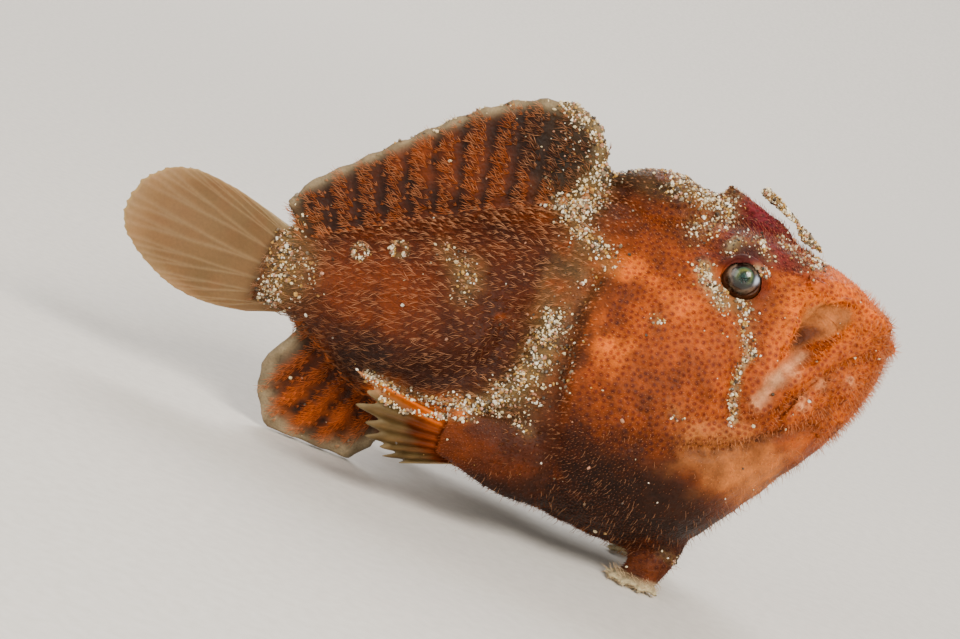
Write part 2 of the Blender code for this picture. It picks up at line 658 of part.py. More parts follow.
def build_spines_and_fins(clearance, fish):
    """The rod, horn and hump of the head spines, and the fins in the middle plane."""
    horn = tube("second_dorsal_spine", middle(HORN_LINE), HORN_RADII, fish, 12, 9)
    combine(horn, [copy_of(clearance, fish)], "DIFFERENCE")
    rod = tube("illicium", middle(ROD_LINE), ROD_RADII, fish, 10, 9)
    combine(rod, [copy_of(clearance, fish), swollen(horn, fish, 2 * GAP)], "DIFFERENCE")
    hump = limb("third_dorsal_spine", middle(HUMP_LINE), HUMP_HEIGHTS, HUMP_WIDTHS, 22, fish, 13)
    combine(hump, [copy_of(clearance, fish), swollen(horn, fish)], "DIFFERENCE")
    dorsal = fin("dorsal_fin", DORSAL_ROOT, DORSAL_MARGIN, DORSAL_RAYS, fish, wave=0.5)
    combine(dorsal, [copy_of(clearance, fish), swollen(hump, fish)], "DIFFERENCE")
    anal = fin("anal_fin", ANAL_ROOT, ANAL_MARGIN, ANAL_RAYS, fish, edge_half=0.42)
    combine(anal, [copy_of(clearance, fish)], "DIFFERENCE")
    standing(anal, fish)
    caudal = fin("caudal_fin", CAUDAL_ROOT, CAUDAL_MARGIN, CAUDAL_RAYS, fish, rows=9,
                 root_half=1.1, edge_half=0.27, ridge=0.18, branch=0.7)
    combine(swung(caudal), [copy_of(clearance, fish)], "DIFFERENCE")


def finish(fish):
    """Centres the fish over the origin, shades it and colours its parts."""
    corners = np.array([vertex.co for thing in fish.objects for vertex in thing.data.vertices])
    low, high = corners.min(axis=0), corners.max(axis=0)
    shift = Matrix.Translation((-(low[0] + high[0]) / 2, -(low[1] + high[1]) / 2, -low[2]))
    coats = {name: material(name, *look) for name, look in COATS.items()}
    for thing in fish.objects:
        thing.data.transform(shift)
        thing.data.materials.clear()
        thing.data.materials.append(coats[coat_of(thing.name)])
        thing.data.shade_smooth()
        thing.data.set_sharp_from_angle(angle=math.radians(50))


def main():
    for thing in list(bpy.data.objects):
        bpy.data.objects.remove(thing)
    fish = build()
    finish(fish)


main()
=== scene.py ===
"""A life-size prickly frogfish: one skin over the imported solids, with its prickles, fins, eyes and sand.

The script adds a panel to the 3D view's sidebar. Each of its buttons makes one group of pieces.
Lengths written as plain numbers are millimetres in the fish's own drawing frame: X runs towards
the snout from above the throat, Y to the fish's left and Z up from the floor.
"""

import math
from collections import namedtuple

import bmesh
import bpy
import numpy as np
from bpy.props import FloatProperty, FloatVectorProperty, IntProperty, PointerProperty
from mathutils import Matrix, Vector
from mathutils.bvhtree import BVHTree
from mathutils.kdtree import KDTree


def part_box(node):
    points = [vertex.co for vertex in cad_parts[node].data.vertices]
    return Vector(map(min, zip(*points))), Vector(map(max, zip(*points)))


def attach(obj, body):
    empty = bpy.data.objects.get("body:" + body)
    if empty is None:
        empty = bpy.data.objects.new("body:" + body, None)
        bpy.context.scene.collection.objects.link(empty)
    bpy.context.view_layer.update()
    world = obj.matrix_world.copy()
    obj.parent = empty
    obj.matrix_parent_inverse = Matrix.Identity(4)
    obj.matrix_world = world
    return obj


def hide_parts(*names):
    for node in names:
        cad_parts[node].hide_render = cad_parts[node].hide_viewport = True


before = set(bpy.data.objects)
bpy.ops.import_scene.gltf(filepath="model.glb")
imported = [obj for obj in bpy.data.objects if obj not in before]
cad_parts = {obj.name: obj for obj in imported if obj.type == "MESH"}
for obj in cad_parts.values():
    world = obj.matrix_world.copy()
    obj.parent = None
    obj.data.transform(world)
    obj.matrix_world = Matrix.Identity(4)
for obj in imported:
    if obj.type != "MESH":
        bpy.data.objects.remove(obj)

bl_info = {
    "name": "Prickly Frogfish",
    "version": (1, 0, 0),
    "blender": (4, 5, 0),
    "location": "3D View > Sidebar > Frogfish",
    "description": "Dresses the packed frogfish in one prickly skin",
    "category": "Object",
}

MM = 0.001
RIGHT, LEFT = -1, 1
SIDE_NAMES = {RIGHT: "right", LEFT: "left"}
FLESH = ["head", "lower_jaw", "trunk", "tail_stalk", "dorsal_fin", "anal_fin", "pectoral_arm_right",
         "pectoral_arm_left", "pelvic_fin_right", "pelvic_fin_left", "second_dorsal_spine",
         "third_dorsal_spine"]

# The drawing frame's zero, found from the eye, which is drawn at this distance from it.
EYE_DRAWN_X, EYE_DRAWN_Z = -1.8, 29.3
EYE_LOW, EYE_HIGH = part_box("eye_right")
ZERO = np.array([(EYE_LOW.x + EYE_HIGH.x) / 2 / MM - EYE_DRAWN_X, 0, 0])
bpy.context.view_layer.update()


def linear(code):
    """An sRGB hex colour as linear red, green and blue."""
    channels = [int(code[i:i + 2], 16) / 255 for i in (1, 3, 5)]
    return tuple(c / 12.92 if c <= 0.04045 else ((c + 0.055) / 1.055) ** 2.4 for c in channels)


def colour_setting(name, code, description):
    """A colour that the panel can change."""
    return FloatVectorProperty(name=name, description=description, default=linear(code), size=3,
                               min=0, max=1, subtype="COLOR")


def length_setting(name, millimetres, description):
    """A length that the panel can change."""
    return FloatProperty(name=name, description=description, default=millimetres * MM, min=0.01 * MM,
                         max=20 * MM, precision=5, unit="LENGTH")


class FrogfishSettings(bpy.types.PropertyGroup):
    """The sizes and colours of the fish."""

    cell: length_setting("Skin cell", 0.26, "Size of the cells that the skin is remeshed with")
    coat_depth: length_setting("Coat depth", 0.35, "How far the bare skin lies under the solids")
    flank_prickle: length_setting("Flank prickle", 1.0, "Length of a prickle on the flank")
    face_prickle: length_setting("Face prickle", 0.26, "Length of a prickle on the face")
    grain: length_setting("Sand grain", 0.09, "Usual half width of a sand grain on the skin")
    seed: IntProperty(name="Seed", description="Sets the scatter of prickles and sand", default=7)
    rust: colour_setting("Rust", "#451800", "Flank")
    # Umber is partly the belly's own dark brown and partly painted shade on the underside and in the jaw's
    # creases.
    umber: colour_setting("Umber", "#200a00", "Belly and lower flank")
    orange: colour_setting("Orange", "#8a3900", "Cheek and head")
    vivid: colour_setting("Vivid orange", "#c45a00", "Snout and arms")
    flesh: colour_setting("Bare flesh", "#a5602c", "Throat and inner lip")
    clear: colour_setting("Clear margin", "#85755a", "Clear margins of the dorsal and anal fins")
    lip: colour_setting("Lip", "#d99a6c", "Bare inner lip")
    wine: colour_setting("Wine", "#560c18", "Brow, horn and hump")
    olive: colour_setting("Olive", "#332810", "Hump and the dorsal fin's margin")
    # Near black also paints shade into the hollow behind the gill cover.
    night: colour_setting("Near black", "#0a0502", "Patch on the dorsal fin")
    cream: colour_setting("Cream", "#e6d3a8", "Sand and pale marks")
    tan: colour_setting("Tan", "#7e603c", "Tail fin and fingers")
    silt: colour_setting("Silt", "#66512f", "Silty skin")
    tip: colour_setting("Prickle tip", "#cc9066", "Tips of the flank's prickles")


# Marks on both sides, as drawn: (colour, x, z, reach along x, reach along z, strength). Umber low on the body
# also holds painted shade.
PATCHES = [
    ("orange", -31.5, 15.0, 6.5, 4.0, 0.30),
    ("umber", -28.0, 8.0, 15.0, 4.0, 0.75),
    ("umber", -20.5, 13.5, 5.0, 5.5, 0.55),
    # The belly's dark brown, deepened with painted shade on the underside.
    ("umber", -8.0, 3.0, 13.0, 3.6, 0.95),
    ("umber", -17.0, 24.0, 4.0, 3.5, 0.4),
    ("silt", -15.6, 22.5, 2.6, 4.5, 0.45),
    ("silt", -15.8, 14.6, 1.6, 4.2, 0.55),
    ("silt", -24.4, 20.0, 1.8, 1.8, 0.4),
    ("silt", -39.6, 14.6, 2.0, 4.0, 0.45),
    ("orange", 2.0, 24.0, 13.6, 15.0, 1.0),
    ("orange", -5.0, 13.0, 8.0, 7.0, 0.75),
    # The belly and lower flank: dark brown, deepened with painted shade.
    ("umber", -5.0, 7.4, 11.0, 4.6, 1.0),
    ("umber", -8.0, 3.0, 13.0, 4.0, 1.0),
    ("rust", -4.0, 11.6, 8.0, 2.6, 0.5),
    ("rust", -5.4, 17.0, 4.5, 3.0, 0.5),
    ("rust", -7.5, 30.6, 4.5, 1.6, 0.6),
    ("flesh", 4.6, 12.8, 5.2, 3.0, 0.75),
    ("umber", 1.2, 5.6, 4.0, 3.4, 0.8),
    ("vivid", 6.5, 30.4, 6.5, 3.2, 0.85),
    ("vivid", 3.6, 27.2, 1.7, 3.4, 0.7),
    ("vivid", 10.6, 24.0, 4.5, 6.0, 0.25),
    ("vivid", -10.4, 18.3, 1.5, 1.5, 0.9),
    ("vivid", -11.2, 25.7, 1.9, 1.2, 0.85),
    ("vivid", -5.6, 24.6, 1.6, 1.0, 0.5),
    ("wine", 1.4, 31.6, 3.4, 1.5, 0.9),
    ("wine", -2.2, 31.6, 2.6, 1.5, 0.8),
    ("wine", -0.6, 33.3, 4.8, 1.6, 0.95),
    ("wine", -2.9, 34.6, 3.4, 1.0, 0.95),
    ("wine", 0.6, 28.6, 1.1, 1.3, 0.55),
    ("wine", -2.4, 30.4, 2.8, 2.0, 0.8),
    ("umber", -3.0, 30.2, 2.0, 1.6, 0.6),
    ("silt", -1.4, 26.4, 1.5, 1.2, 0.5),
    ("olive", -12.0, 33.8, 3.8, 1.5, 0.8),
    ("wine", -10.2, 34.8, 2.6, 0.9, 0.85),
    ("umber", -3.7, 32.9, 1.5, 0.8, 0.6),
    ("umber", -2.2, 31.1, 3.0, 0.7, 0.6),
    ("rust", 2.0, 27.0, 1.6, 3.2, 0.6),
    ("rust", -28.0, 29.6, 11.0, 5.4, 0.6),
    ("orange", -30.0, 28.6, 8.0, 3.0, 0.45),
    ("umber", -38.6, 20.6, 3.4, 2.6, 0.5),
    ("umber", -28.0, 25.0, 10.0, 1.4, 0.35),
    ("night", -20.2, 33.2, 5.2, 3.5, 1.0),
    ("olive", -22.6, 36.6, 2.6, 0.9, 0.6),
    ("orange", -33.0, 4.2, 4.6, 4.4, 0.75),
    ("vivid", -33.6, 2.4, 3.6, 2.6, 0.45),
    ("umber", -30.0, 8.4, 3.6, 2.4, 0.9),
    ("orange", -20.0, 5.2, 8.0, 1.8, 0.35),
    ("rust", -15.4, 7.2, 4.2, 2.4, 0.7),
    ("orange", 0.2, 1.4, 2.4, 1.8, 0.2),
]

# Creases that are both folds and lines of colour, as drawn: painted shade in the jaw's, a pale line in the
# cheek's.
JAW_CREASE = [(-0.1, 12.4), (2.5, 13.3), (4.5, 14.5), (6.0, 16.0), (7.8, 17.2), (9.6, 18.4)]
CHEEK_CREASE = [(0.9, 23.7), (1.8, 22.5), (1.5, 20.6), (1.9, 18.4), (2.7, 16.4)]

# Narrow marks along lines, as drawn: (colour, points, reach, strength). The umber lines in the jaw's grooves
# and the near-black one behind the gill cover are painted shade.
STREAKS = [
    ("vivid", [(-28.0, 7.4), (-25.6, 7.3), (-23.2, 7.4), (-20.6, 8.4)], 0.95, 0.95),
    ("lip", [(4.0, 18.7), (4.6, 20.4), (5.3, 22.3), (6.2, 24.0)], 0.62, 1.0),
    ("tip", [(7.7, 20.2), (7.8, 20.0)], 0.5, 0.6),
    ("tip", [(8.7, 22.4), (8.8, 22.2)], 0.5, 0.5),
    ("tip", [(11.0, 23.5), (11.1, 23.4)], 0.45, 0.5),
    ("cream", [(-4.7, 28.2), (-4.0, 27.0), (-2.9, 26.6), (-2.2, 25.8)], 0.45, 0.3),
    ("cream", [(-3.4, 30.9), (-2.9, 31.7)], 0.4, 0.3),
    ("cream", CHEEK_CREASE, 0.25, 0.4),
    ("cream", [(-0.4, 29.9), (-0.2, 29.8)], 0.35, 0.8),
    # Painted shade in the jaw's crease and in the groove below the lower lip.
    ("umber", JAW_CREASE, 0.5, 0.6),
    ("umber", [(6.4, 18.0), (7.1, 20.3), (8.4, 22.6), (10.0, 24.5), (11.8, 26.1)], 0.45, 0.45),
    # Painted shade in the hollow behind the gill cover.
    ("night", [(-13.6, 22.8), (-13.9, 20.6), (-13.7, 18.0), (-13.2, 15.6), (-12.4, 12.6)], 0.5, 0.3),
]

# The skin stretched inside the mouth, as drawn, and the shaded corner of it.
GAPE = [(5.0, 24.0), (5.1, 25.3), (4.9, 26.7), (5.1, 28.3), (6.0, 29.1), (7.4, 29.6), (8.7, 29.6),
        (9.1, 28.6), (8.7, 27.5), (8.0, 26.6), (6.6, 25.5)]
GAPE_SHADE = [(4.9, 24.2), (5.0, 26.6), (6.2, 27.1), (7.4, 26.8), (6.5, 25.5), (5.6, 24.5)]
INNER_LIP = [(4.3, 19.3), (4.9, 21.1), (5.5, 22.8), (6.2, 24.1)]
THROAT = [(-3.2, 10.6), (0.0, 12.2), (2.6, 13.2), (4.8, 14.6), (6.8, 16.6), (9.6, 18.4), (14.0, 17.0),
          (9.0, 10.0), (4.0, 3.8), (-2.0, 5.0)]

# Lines on the skin as drawn: (points, reach, height), raised where the height is positive.
FOLDS = [
    ([(4.6, 17.9), (5.1, 19.0), (6.1, 21.2), (7.4, 23.4), (9.1, 26.0), (10.8, 27.5), (12.3, 28.6)], 0.7, 0.6),
    ([(5.2, 29.9), (4.4, 28.7), (4.1, 26.7), (4.2, 24.6), (4.1, 22.5), (3.8, 20.4), (3.5, 18.9)], 0.6, 0.5),
    ([(5.4, 30.2), (6.6, 30.9), (8.4, 31.0), (10.2, 30.7), (11.9, 30.2)], 0.7, 0.4),
    (INNER_LIP, 0.6, -0.4),
    ([(6.2, 17.9), (7.0, 20.3), (8.3, 22.6), (10.0, 24.5), (11.8, 26.1)], 0.45, -0.5),
    ([(7.6, 20.4), (7.8, 20.0)], 0.5, 0.5),
    ([(8.6, 22.6), (8.8, 22.2)], 0.5, 0.5),
    ([(11.0, 23.6), (11.1, 23.3)], 0.5, 0.45),
    (JAW_CREASE, 0.6, -0.6),
    ([(0.6, 14.2), (3.2, 15.2), (5.4, 16.9), (7.4, 18.7), (9.6, 20.6)], 0.8, 0.35),
    (CHEEK_CREASE, 0.5, -0.45),
    ([(-1.4, 23.4), (-0.9, 21.0), (-0.7, 18.6)], 1.4, 0.35),
    ([(2.9, 27.2), (3.0, 24.0), (2.8, 20.8), (3.2, 18.2)], 0.7, 0.25),
    ([(-11.6, 24.5), (-12.0, 19.5), (-11.4, 14.6), (-10.4, 10.4)], 1.2, 0.55),
    ([(-13.7, 23.8), (-14.1, 21.3), (-13.9, 18.0), (-13.3, 15.0), (-12.6, 12.0)], 0.8, -0.8),
    ([(-20.6, 8.4), (-18.9, 9.4), (-17.3, 11.0), (-16.2, 13.2), (-15.7, 15.8), (-15.6, 18.0)], 1.1, 0.9),
    ([(-24.5, 9.9), (-21.6, 10.9), (-19.4, 13.0), (-18.6, 15.5), (-18.7, 18.0)], 1.7, -0.7),
    ([(-4.8, 31.2), (-2.2, 31.9), (0.8, 31.9), (3.6, 31.4), (6.4, 30.8)], 0.7, 0.4),
    ([(-5.6, 30.4), (-3.6, 30.6)], 0.7, -0.3),
]
# Two small pale rings on the flank: their middles as drawn, and the radius of the sand round them.
ROSETTES, ROSETTE_RADIUS = [(-34.0, 18.3), (-30.8, 19.8)], 0.62

# Pads of flesh that close the notches between neighbours: (x, y, z, half sizes along X, Y and Z).
PADS = [(-15.9, 0, 31.6, 1.5, 1.0, 2.2), (-17.4, 0, 29.6, 2.5, 1.4, 1.6), (-40.0, 0, 14.2, 1.9, 1.5, 3.4),
        (-5.3, 0, 33.9, 2.2, 1.5, 1.5), (2.9, 0, 32.4, 2.4, 1.5, 1.0)]

# The dorsal and the anal fin as drawn: where they meet the body, and their margins.
DORSAL_ROOT = [(-16.1, 29.0), (-20.0, 26.9), (-26.0, 23.8), (-32.0, 20.6), (-38.6, 16.9)]
ANAL_ROOT = [(-25.6, 7.2), (-29.0, 8.8), (-32.6, 10.4), (-36.2, 12.0)]
DORSAL_MARGIN = [(-16.3, 34.6), (-17.6, 36.5), (-20.6, 37.8), (-24.6, 36.9), (-28.6, 34.4),
                 (-33.0, 30.4), (-37.4, 26.0), (-41.0, 22.2), (-42.0, 20.2)]
ANAL_MARGIN = [(-26.6, 2.0), (-28.6, 0.4), (-31.4, -0.2), (-34.2, -0.2), (-36.8, 0.6), (-38.7, 3.4),
               (-38.8, 6.6), (-37.7, 8.4)]
# Both fins: root, margin, number of rays, the clear margin's reach, and the x at which that starts.
ROWED_FINS = [(DORSAL_ROOT, DORSAL_MARGIN, 13, 0.75, -16.9), (ANAL_ROOT, ANAL_MARGIN, 8, 1.2, -25)]
# How far from the middle plane these fins reach, and how often a place in one is halved to find it.
FIN_HALF, FIN_HALVINGS = 2.2, 12


def circle(x, z, radius):
    """The points of a small ring, as drawn."""
    turns = np.linspace(0, math.tau, 13)
    return list(zip(x + radius * np.cos(turns), z + radius * np.sin(turns)))


# Sandy places, as drawn: (points, reach, how thickly the sand lies).
SANDY = [
    ([(-21.6, 37.3), (-18.8, 36.5), (-17.2, 35.0), (-16.5, 33.6), (-16.3, 31.4)], 0.7, 1.3),
    ([(-16.6, 33.2), (-16.7, 31.4), (-16.9, 29.8), (-17.2, 28.8)], 1.3, 1.3),
    ([(-18.8, 28.9), (-17.2, 28.2), (-16.0, 27.2), (-14.4, 26.6), (-12.8, 25.4)], 0.8, 1.0),
    ([(-20.4, 35.0), (-18.6, 33.8), (-18.0, 31.6), (-19.4, 29.8)], 1.8, 0.1),
    ([(-13.6, 24.6), (-14.2, 22.6), (-14.6, 20.4)], 1.1, 0.16),
    ([(-15.9, 18.6), (-15.3, 16.7), (-15.4, 14.4), (-16.3, 12.1), (-17.5, 10.4)], 1.1, 1.5),
    ([(-14.4, 18.4), (-14.0, 14.4), (-15.0, 10.6)], 1.4, 0.25),
    ([(-17.2, 10.4), (-19.4, 9.1), (-21.5, 8.4)], 0.7, 1.4),
    ([(-20.6, 8.9), (-23.4, 8.0), (-26.0, 7.9), (-28.2, 8.0), (-29.4, 8.1)], 0.35, 1.2),
    ([(-27.6, 6.6), (-25.4, 6.3), (-22.6, 6.8), (-19.0, 7.9)], 0.22, 0.9),
    ([(-15.4, 9.2), (-14.0, 8.6)], 0.5, 0.6),
    ([(1.2, 2.6), (2.4, 2.4), (3.4, 2.6)], 0.35, 0.5),
    ([(-40.9, 18.4), (-40.4, 16.2), (-40.0, 13.8), (-40.2, 11.2)], 1.1, 1.0),
    ([(-38.6, 15.2), (-38.2, 13.0)], 1.6, 0.3),
    ([(-14.6, 34.9), (-12.6, 35.2), (-10.0, 34.9)], 0.7, 0.7),
    ([(-9.6, 34.6), (-7.6, 34.2), (-6.2, 34.0), (-4.8, 33.9)], 1.0, 1.3),
    ([(-6.0, 35.6), (-4.6, 35.2)], 0.6, 1.1),
    ([(-5.4, 33.0), (-6.6, 31.6)], 1.2, 0.6),
    ([(-2.4, 36.7), (-0.9, 35.9), (0.5, 35.1), (2.0, 34.3), (3.4, 33.4), (4.6, 32.4)], 0.55, 0.9),
    ([(-3.4, 30.6), (-2.7, 31.8), (-1.3, 32.2), (0.3, 31.2)], 0.5, 0.55),
    ([(0.5, 33.0), (2.6, 32.2), (4.4, 31.4)], 0.5, 0.4),
    ([(-4.8, 28.1), (-4.1, 27.2), (-3.1, 26.8), (-2.2, 25.9)], 0.65, 1.3),
    ([(-0.4, 29.9), (0.3, 29.8)], 0.4, 0.7),
    ([(-0.6, 26.4), (0.2, 25.2), (0.9, 23.7), (1.8, 22.5)], 0.7, 0.7),
    ([(1.6, 22.0), (1.5, 20.6), (1.9, 18.4), (2.7, 16.4)], 0.4, 0.95),
    *[(circle(x, z, ROSETTE_RADIUS), 0.2, 1.6) for x, z in ROSETTES],
    ([(-27.0, 21.3), (-25.5, 20.7), (-24.1, 19.5), (-24.0, 18.0)], 0.8, 0.4),
    ([(-7.2, 22.5), (-7.0, 22.4)], 0.5, 0.5),
    ([(-2.5, 15.0), (-2.2, 14.9)], 0.5, 0.5),
    ([(-21.0, 37.4), (-24.6, 36.6), (-30.0, 33.2), (-36.0, 27.2)], 0.4, 0.12),
]


def in_side_view(points):
    """The x and z of points in the drawing frame."""
    return np.stack([points[:, 0], points[:, 2]], axis=1)


# The photograph's view: from a little above and ahead, rolled by the slope of the ground.
VIEW_SLOPE, VIEW_DOWN, VIEW_AHEAD = math.radians(21), math.radians(8), math.radians(4)
VIEW_CENTRE, VIEW_AWAY = np.array([-21.8, 16.5]), 240.0


def as_drawn(points):
    """Where points of either flank lie in the drawing of the side."""
    out = np.abs(points[:, 1])[:, None]
    up = np.array([-math.sin(VIEW_SLOPE), math.cos(VIEW_SLOPE)])
    ahead = np.array([math.cos(VIEW_SLOPE), math.sin(VIEW_SLOPE)])
    spots = VIEW_CENTRE + (in_side_view(points) - VIEW_CENTRE) * (1 + out / VIEW_AWAY)
    return spots - out * (math.tan(VIEW_DOWN) * up + math.tan(VIEW_AHEAD) * ahead)


def from_line(spots, line):
    """Each spot's distance from a line of points, both in side view."""
    line = np.array(line, float)
    nearest = np.full(len(spots), np.inf)
    for start, end in zip(line, line[1:]):
        step = end - start
        share = np.clip((spots - start) @ step / max(step @ step, 1e-9), 0, 1)
        nearest = np.minimum(nearest, np.linalg.norm(spots - start - share[:, None] * step, axis=1))
    return nearest


def from_patch(spots, x, z, wide, high):
    """Each spot's distance from the middle of a round patch, whose edge is at 1."""
    return np.hypot((spots[:, 0] - x) / wide, (spots[:, 1] - z) / high)


def inside(spots, outline, soft):
    """1 inside an outline, falling to 0 outside it over a soft edge."""
    corners = np.array(outline + outline[:1], float)
    odd = np.zeros(len(spots), bool)
    for (x, z), (next_x, next_z) in zip(corners, corners[1:]):
        crosses = (z > spots[:, 1]) != (next_z > spots[:, 1])
        odd ^= crosses & (spots[:, 0] < x + (spots[:, 1] - z) * (next_x - x) / ((next_z - z) or 1e-9))
    return np.clip(0.5 + from_line(spots, corners) * np.where(odd, 1, -1) / soft, 0, 1)


def within(distance, reach):
    """1 at no distance, falling smoothly to 0 a little past the reach."""
    return np.exp(-(distance / reach) ** 2)


def near_line(spots, line, reach):
    """1 on a line, falling smoothly to 0 a little past its reach."""
    return within(from_line(spots, line), reach)


def off_middle(points, distance):
    """1 on the sides of the body, and 0 within a distance of its middle plane."""
    return np.clip(np.abs(points[:, 1]) - distance, 0, 1)


def smooth_step(values):
    """0 where values are far below 0, rising smoothly to 1 where they are far above."""
    return 1 / (1 + np.exp(-values))


# Numbers that scramble the place of a cell into a value that looks random.
SCRAMBLE, SCRAMBLE_LOOP = np.array([73856093, 19349663, 83492791]), 1000003
SCRAMBLE_TURN, SCRAMBLE_SPREAD = 12.9898, 43758.5453


def noise(points, size, seed=0):
    """Smooth random values from -1 to 1, with lumps of about the given size."""
    places = points / size + 57.3 * (seed + 1)
    cell = np.floor(places).astype(np.int64)
    t = places - cell
    t = t * t * (3 - 2 * t)
    total = np.zeros(len(points))
    for corner in range(8):
        step = np.array([corner & 1, corner >> 1 & 1, corner >> 2 & 1])
        keys = (cell + step) @ SCRAMBLE % SCRAMBLE_LOOP
        value = np.sin(keys * SCRAMBLE_TURN) * SCRAMBLE_SPREAD
        share = np.prod(np.where(step == 1, t, 1 - t), axis=1)
        total += share * (value - np.floor(value))
    return 2 * total - 1


def settings():
    """The sizes and colours in use."""
    return bpy.context.scene.frogfish


def shade(name):
    """One of the panel's colours as an array."""
    return np.array(getattr(settings(), name)[:], float)


def blended(colours, name, share):
    """Colours mixed towards one of the panel's colours."""
    share = np.clip(share, 0, 1)[:, None]
    return colours * (1 - share) + shade(name) * share


def markings_and_painted_shade(points):
    """The skin's colour at points of the drawing frame, alike on both sides, with painted shade on the
    underside and in creases and hollows.
    """
    spots, outer = as_drawn(points), off_middle(points, 3)
    ragged = 1 + 0.35 * noise(points, 1.6, 1) + 0.2 * noise(points, 0.6, 2)
    colours = np.tile(shade("rust"), (len(points), 1))
    for name, *patch, strength in PATCHES:
        share = smooth_step((0.95 - from_patch(spots, *patch) * ragged) * 6)
        colours = blended(colours, name, share * strength)
    colours = blended(colours, "flesh", outer * inside(spots, GAPE, 0.4))
    colours = blended(colours, "rust", 0.9 * outer * inside(spots, GAPE_SHADE, 0.7))
    broken = 0.75 + 0.5 * noise(points, 0.5, 9)
    for name, line, reach, strength in STREAKS:
        share = within(from_line(spots, line) * ragged, reach) * broken
        colours = blended(colours, name, strength * share)
    crest, on_fin = fin_rows(points)
    between_rays = 0.25 + 0.6 * (1 - crest) ** 1.2 + 0.3 * noise(points, 0.8, 51)
    colours = blended(colours, "umber", on_fin * between_rays)
    colours = blended(colours, "clear", 0.9 * fin_margin(points))
    colours = blended(colours, "silt", 0.6 * sandiness(points) ** 0.7)
    colours = blended(colours, "cream", 0.5 * toe_tips(points))
    mottle = 1 + 0.25 * noise(points, 2.4, 3) + 0.35 * noise(points, 0.9, 4)
    return colours * mottle[:, None]


def along(line, share):
    """Points at shares of a line's length."""
    line = np.array(line, float)
    run = np.concatenate([[0], np.cumsum(np.linalg.norm(np.diff(line, axis=0), axis=1))])
    return np.stack([np.interp(share * run[-1], run, axis) for axis in line.T], axis=-1)


def fan_place(spots, root, margin):
    """Where spots lie in a fin: their share of the way along it, and from its root to its margin."""
    low, high = np.zeros(len(spots)), np.ones(len(spots))
    turn = np.sign(np.cross(np.subtract(margin[0], root[0]), np.subtract(root[-1], root[0])))
    for _ in range(FIN_HALVINGS):
        share = (low + high) / 2
        base, tip = along(root, share), along(margin, share)
        past = turn * np.cross(tip - base, spots - base) > 0
        low, high = np.where(past, share, low), np.where(past, high, share)
    out = np.einsum("ij,ij->i", spots - base, tip - base) / np.einsum("ij,ij->i", tip - base, tip - base)
    return share, out


def ray_crest(share, rays):
    """1 on a fin's rays, falling to 0 midway between them."""
    return 0.5 + 0.5 * np.cos(math.tau * share * (rays - 1))


def fin_rows(points):
    """How strongly each point lies on a ray of the dorsal or the anal fin, and whether it is on the fins."""
    spots = in_side_view(points)
    crest, on_fin = np.zeros(len(points)), np.zeros(len(points))
    for root, margin, rays, *_ in ROWED_FINS:
        share, out = fan_place(spots, root, margin)
        here = np.clip(out * 8 - 0.8, 0, 1) * (out < 1.3) * (np.abs(points[:, 1]) < FIN_HALF)
        here *= (share > 0.004) & (share < 0.996)
        crest = np.where(here > on_fin, ray_crest(share, rays), crest)
        on_fin = np.maximum(on_fin, here)
    return crest, on_fin


def fin_margin(points):
    """How far into the clear margin of the dorsal and anal fins each point is."""
    spots, deep = in_side_view(points), np.zeros(len(points))
    for _, margin, _, reach, start in ROWED_FINS:
        near = np.clip(1.6 * near_line(spots, margin, reach), 0, 1)
        deep = np.maximum(deep, near * (points[:, 0] < start))
    return deep * (np.abs(points[:, 1]) < FIN_HALF)


def toe_tips(points):
    """1 on the toes."""
    return np.clip((1.3 - points[:, 2]) / 0.8, 0, 1) * (points[:, 0] > -6)


def sandiness(points):
    """How thickly sand lies on the skin at each point."""
    spots = as_drawn(points)
    share = np.zeros(len(points))
    for line, reach, strength in SANDY:
        share = np.maximum(share, strength * near_line(spots, line, reach))
    return share


def bareness(points):
    """1 where the skin is bare of prickles: the mouth, the eyes and the throat."""
    spots = as_drawn(points)
    mouth = np.maximum(inside(spots, GAPE, 0.4), np.clip(1.6 * near_line(spots, INNER_LIP, 0.8), 0, 1))
    eye = near_line(in_side_view(points), [(EYE_DRAWN_X, EYE_DRAWN_Z), (EYE_DRAWN_X, 29.4)], 2.0)
    eye = np.clip(eye * 2.2, 0, 1) * (np.abs(points[:, 1]) > 3)
    bare = np.maximum(mouth * off_middle(points, 3), eye)
    return np.maximum(bare, 0.75 * inside(spots, THROAT, 1.5))


def faceness(points):
    """1 on the face, chin and feet, 0 on the flank."""
    head = smooth_step((points[:, 0] + 11.5) / 0.9)
    return np.maximum(head, (points[:, 2] < 2.2) * (points[:, 0] > -8))


def remove_unused(mesh):
    """Deletes a mesh that no object uses."""
    if mesh.users == 0:
        bpy.data.meshes.remove(mesh)


def linked(name, data):
    """A new object in the scene."""
    thing = bpy.data.objects.new(name, data)
    bpy.context.scene.collection.objects.link(thing)
    return thing


def place(name, mesh, material, nodes=()):
    """Puts a mesh in the scene as a piece of the fish, in place of the given nodes."""
    mesh.materials.append(material)
    piece = linked(name, mesh)
    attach(piece, "root")
    if nodes:
        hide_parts(*nodes)


def coordinates(mesh):
    """The mesh's points in the drawing frame."""
    flat = np.empty(len(mesh.vertices) * 3, np.float32)
    mesh.vertices.foreach_get("co", flat)
    return flat.reshape(-1, 3).astype(float) / MM - ZERO


def set_coordinates(mesh, points):
    """Moves the mesh's points, given in the drawing frame."""
    mesh.vertices.foreach_set("co", ((points + ZERO) * MM).astype(np.float32).ravel())
    mesh.update()


def normals(mesh):
    """The mesh's normal at each point."""
    flat = np.empty(len(mesh.vertices) * 3, np.float32)
    mesh.vertex_normals.foreach_get("vector", flat)
    return flat.reshape(-1, 3).astype(float)


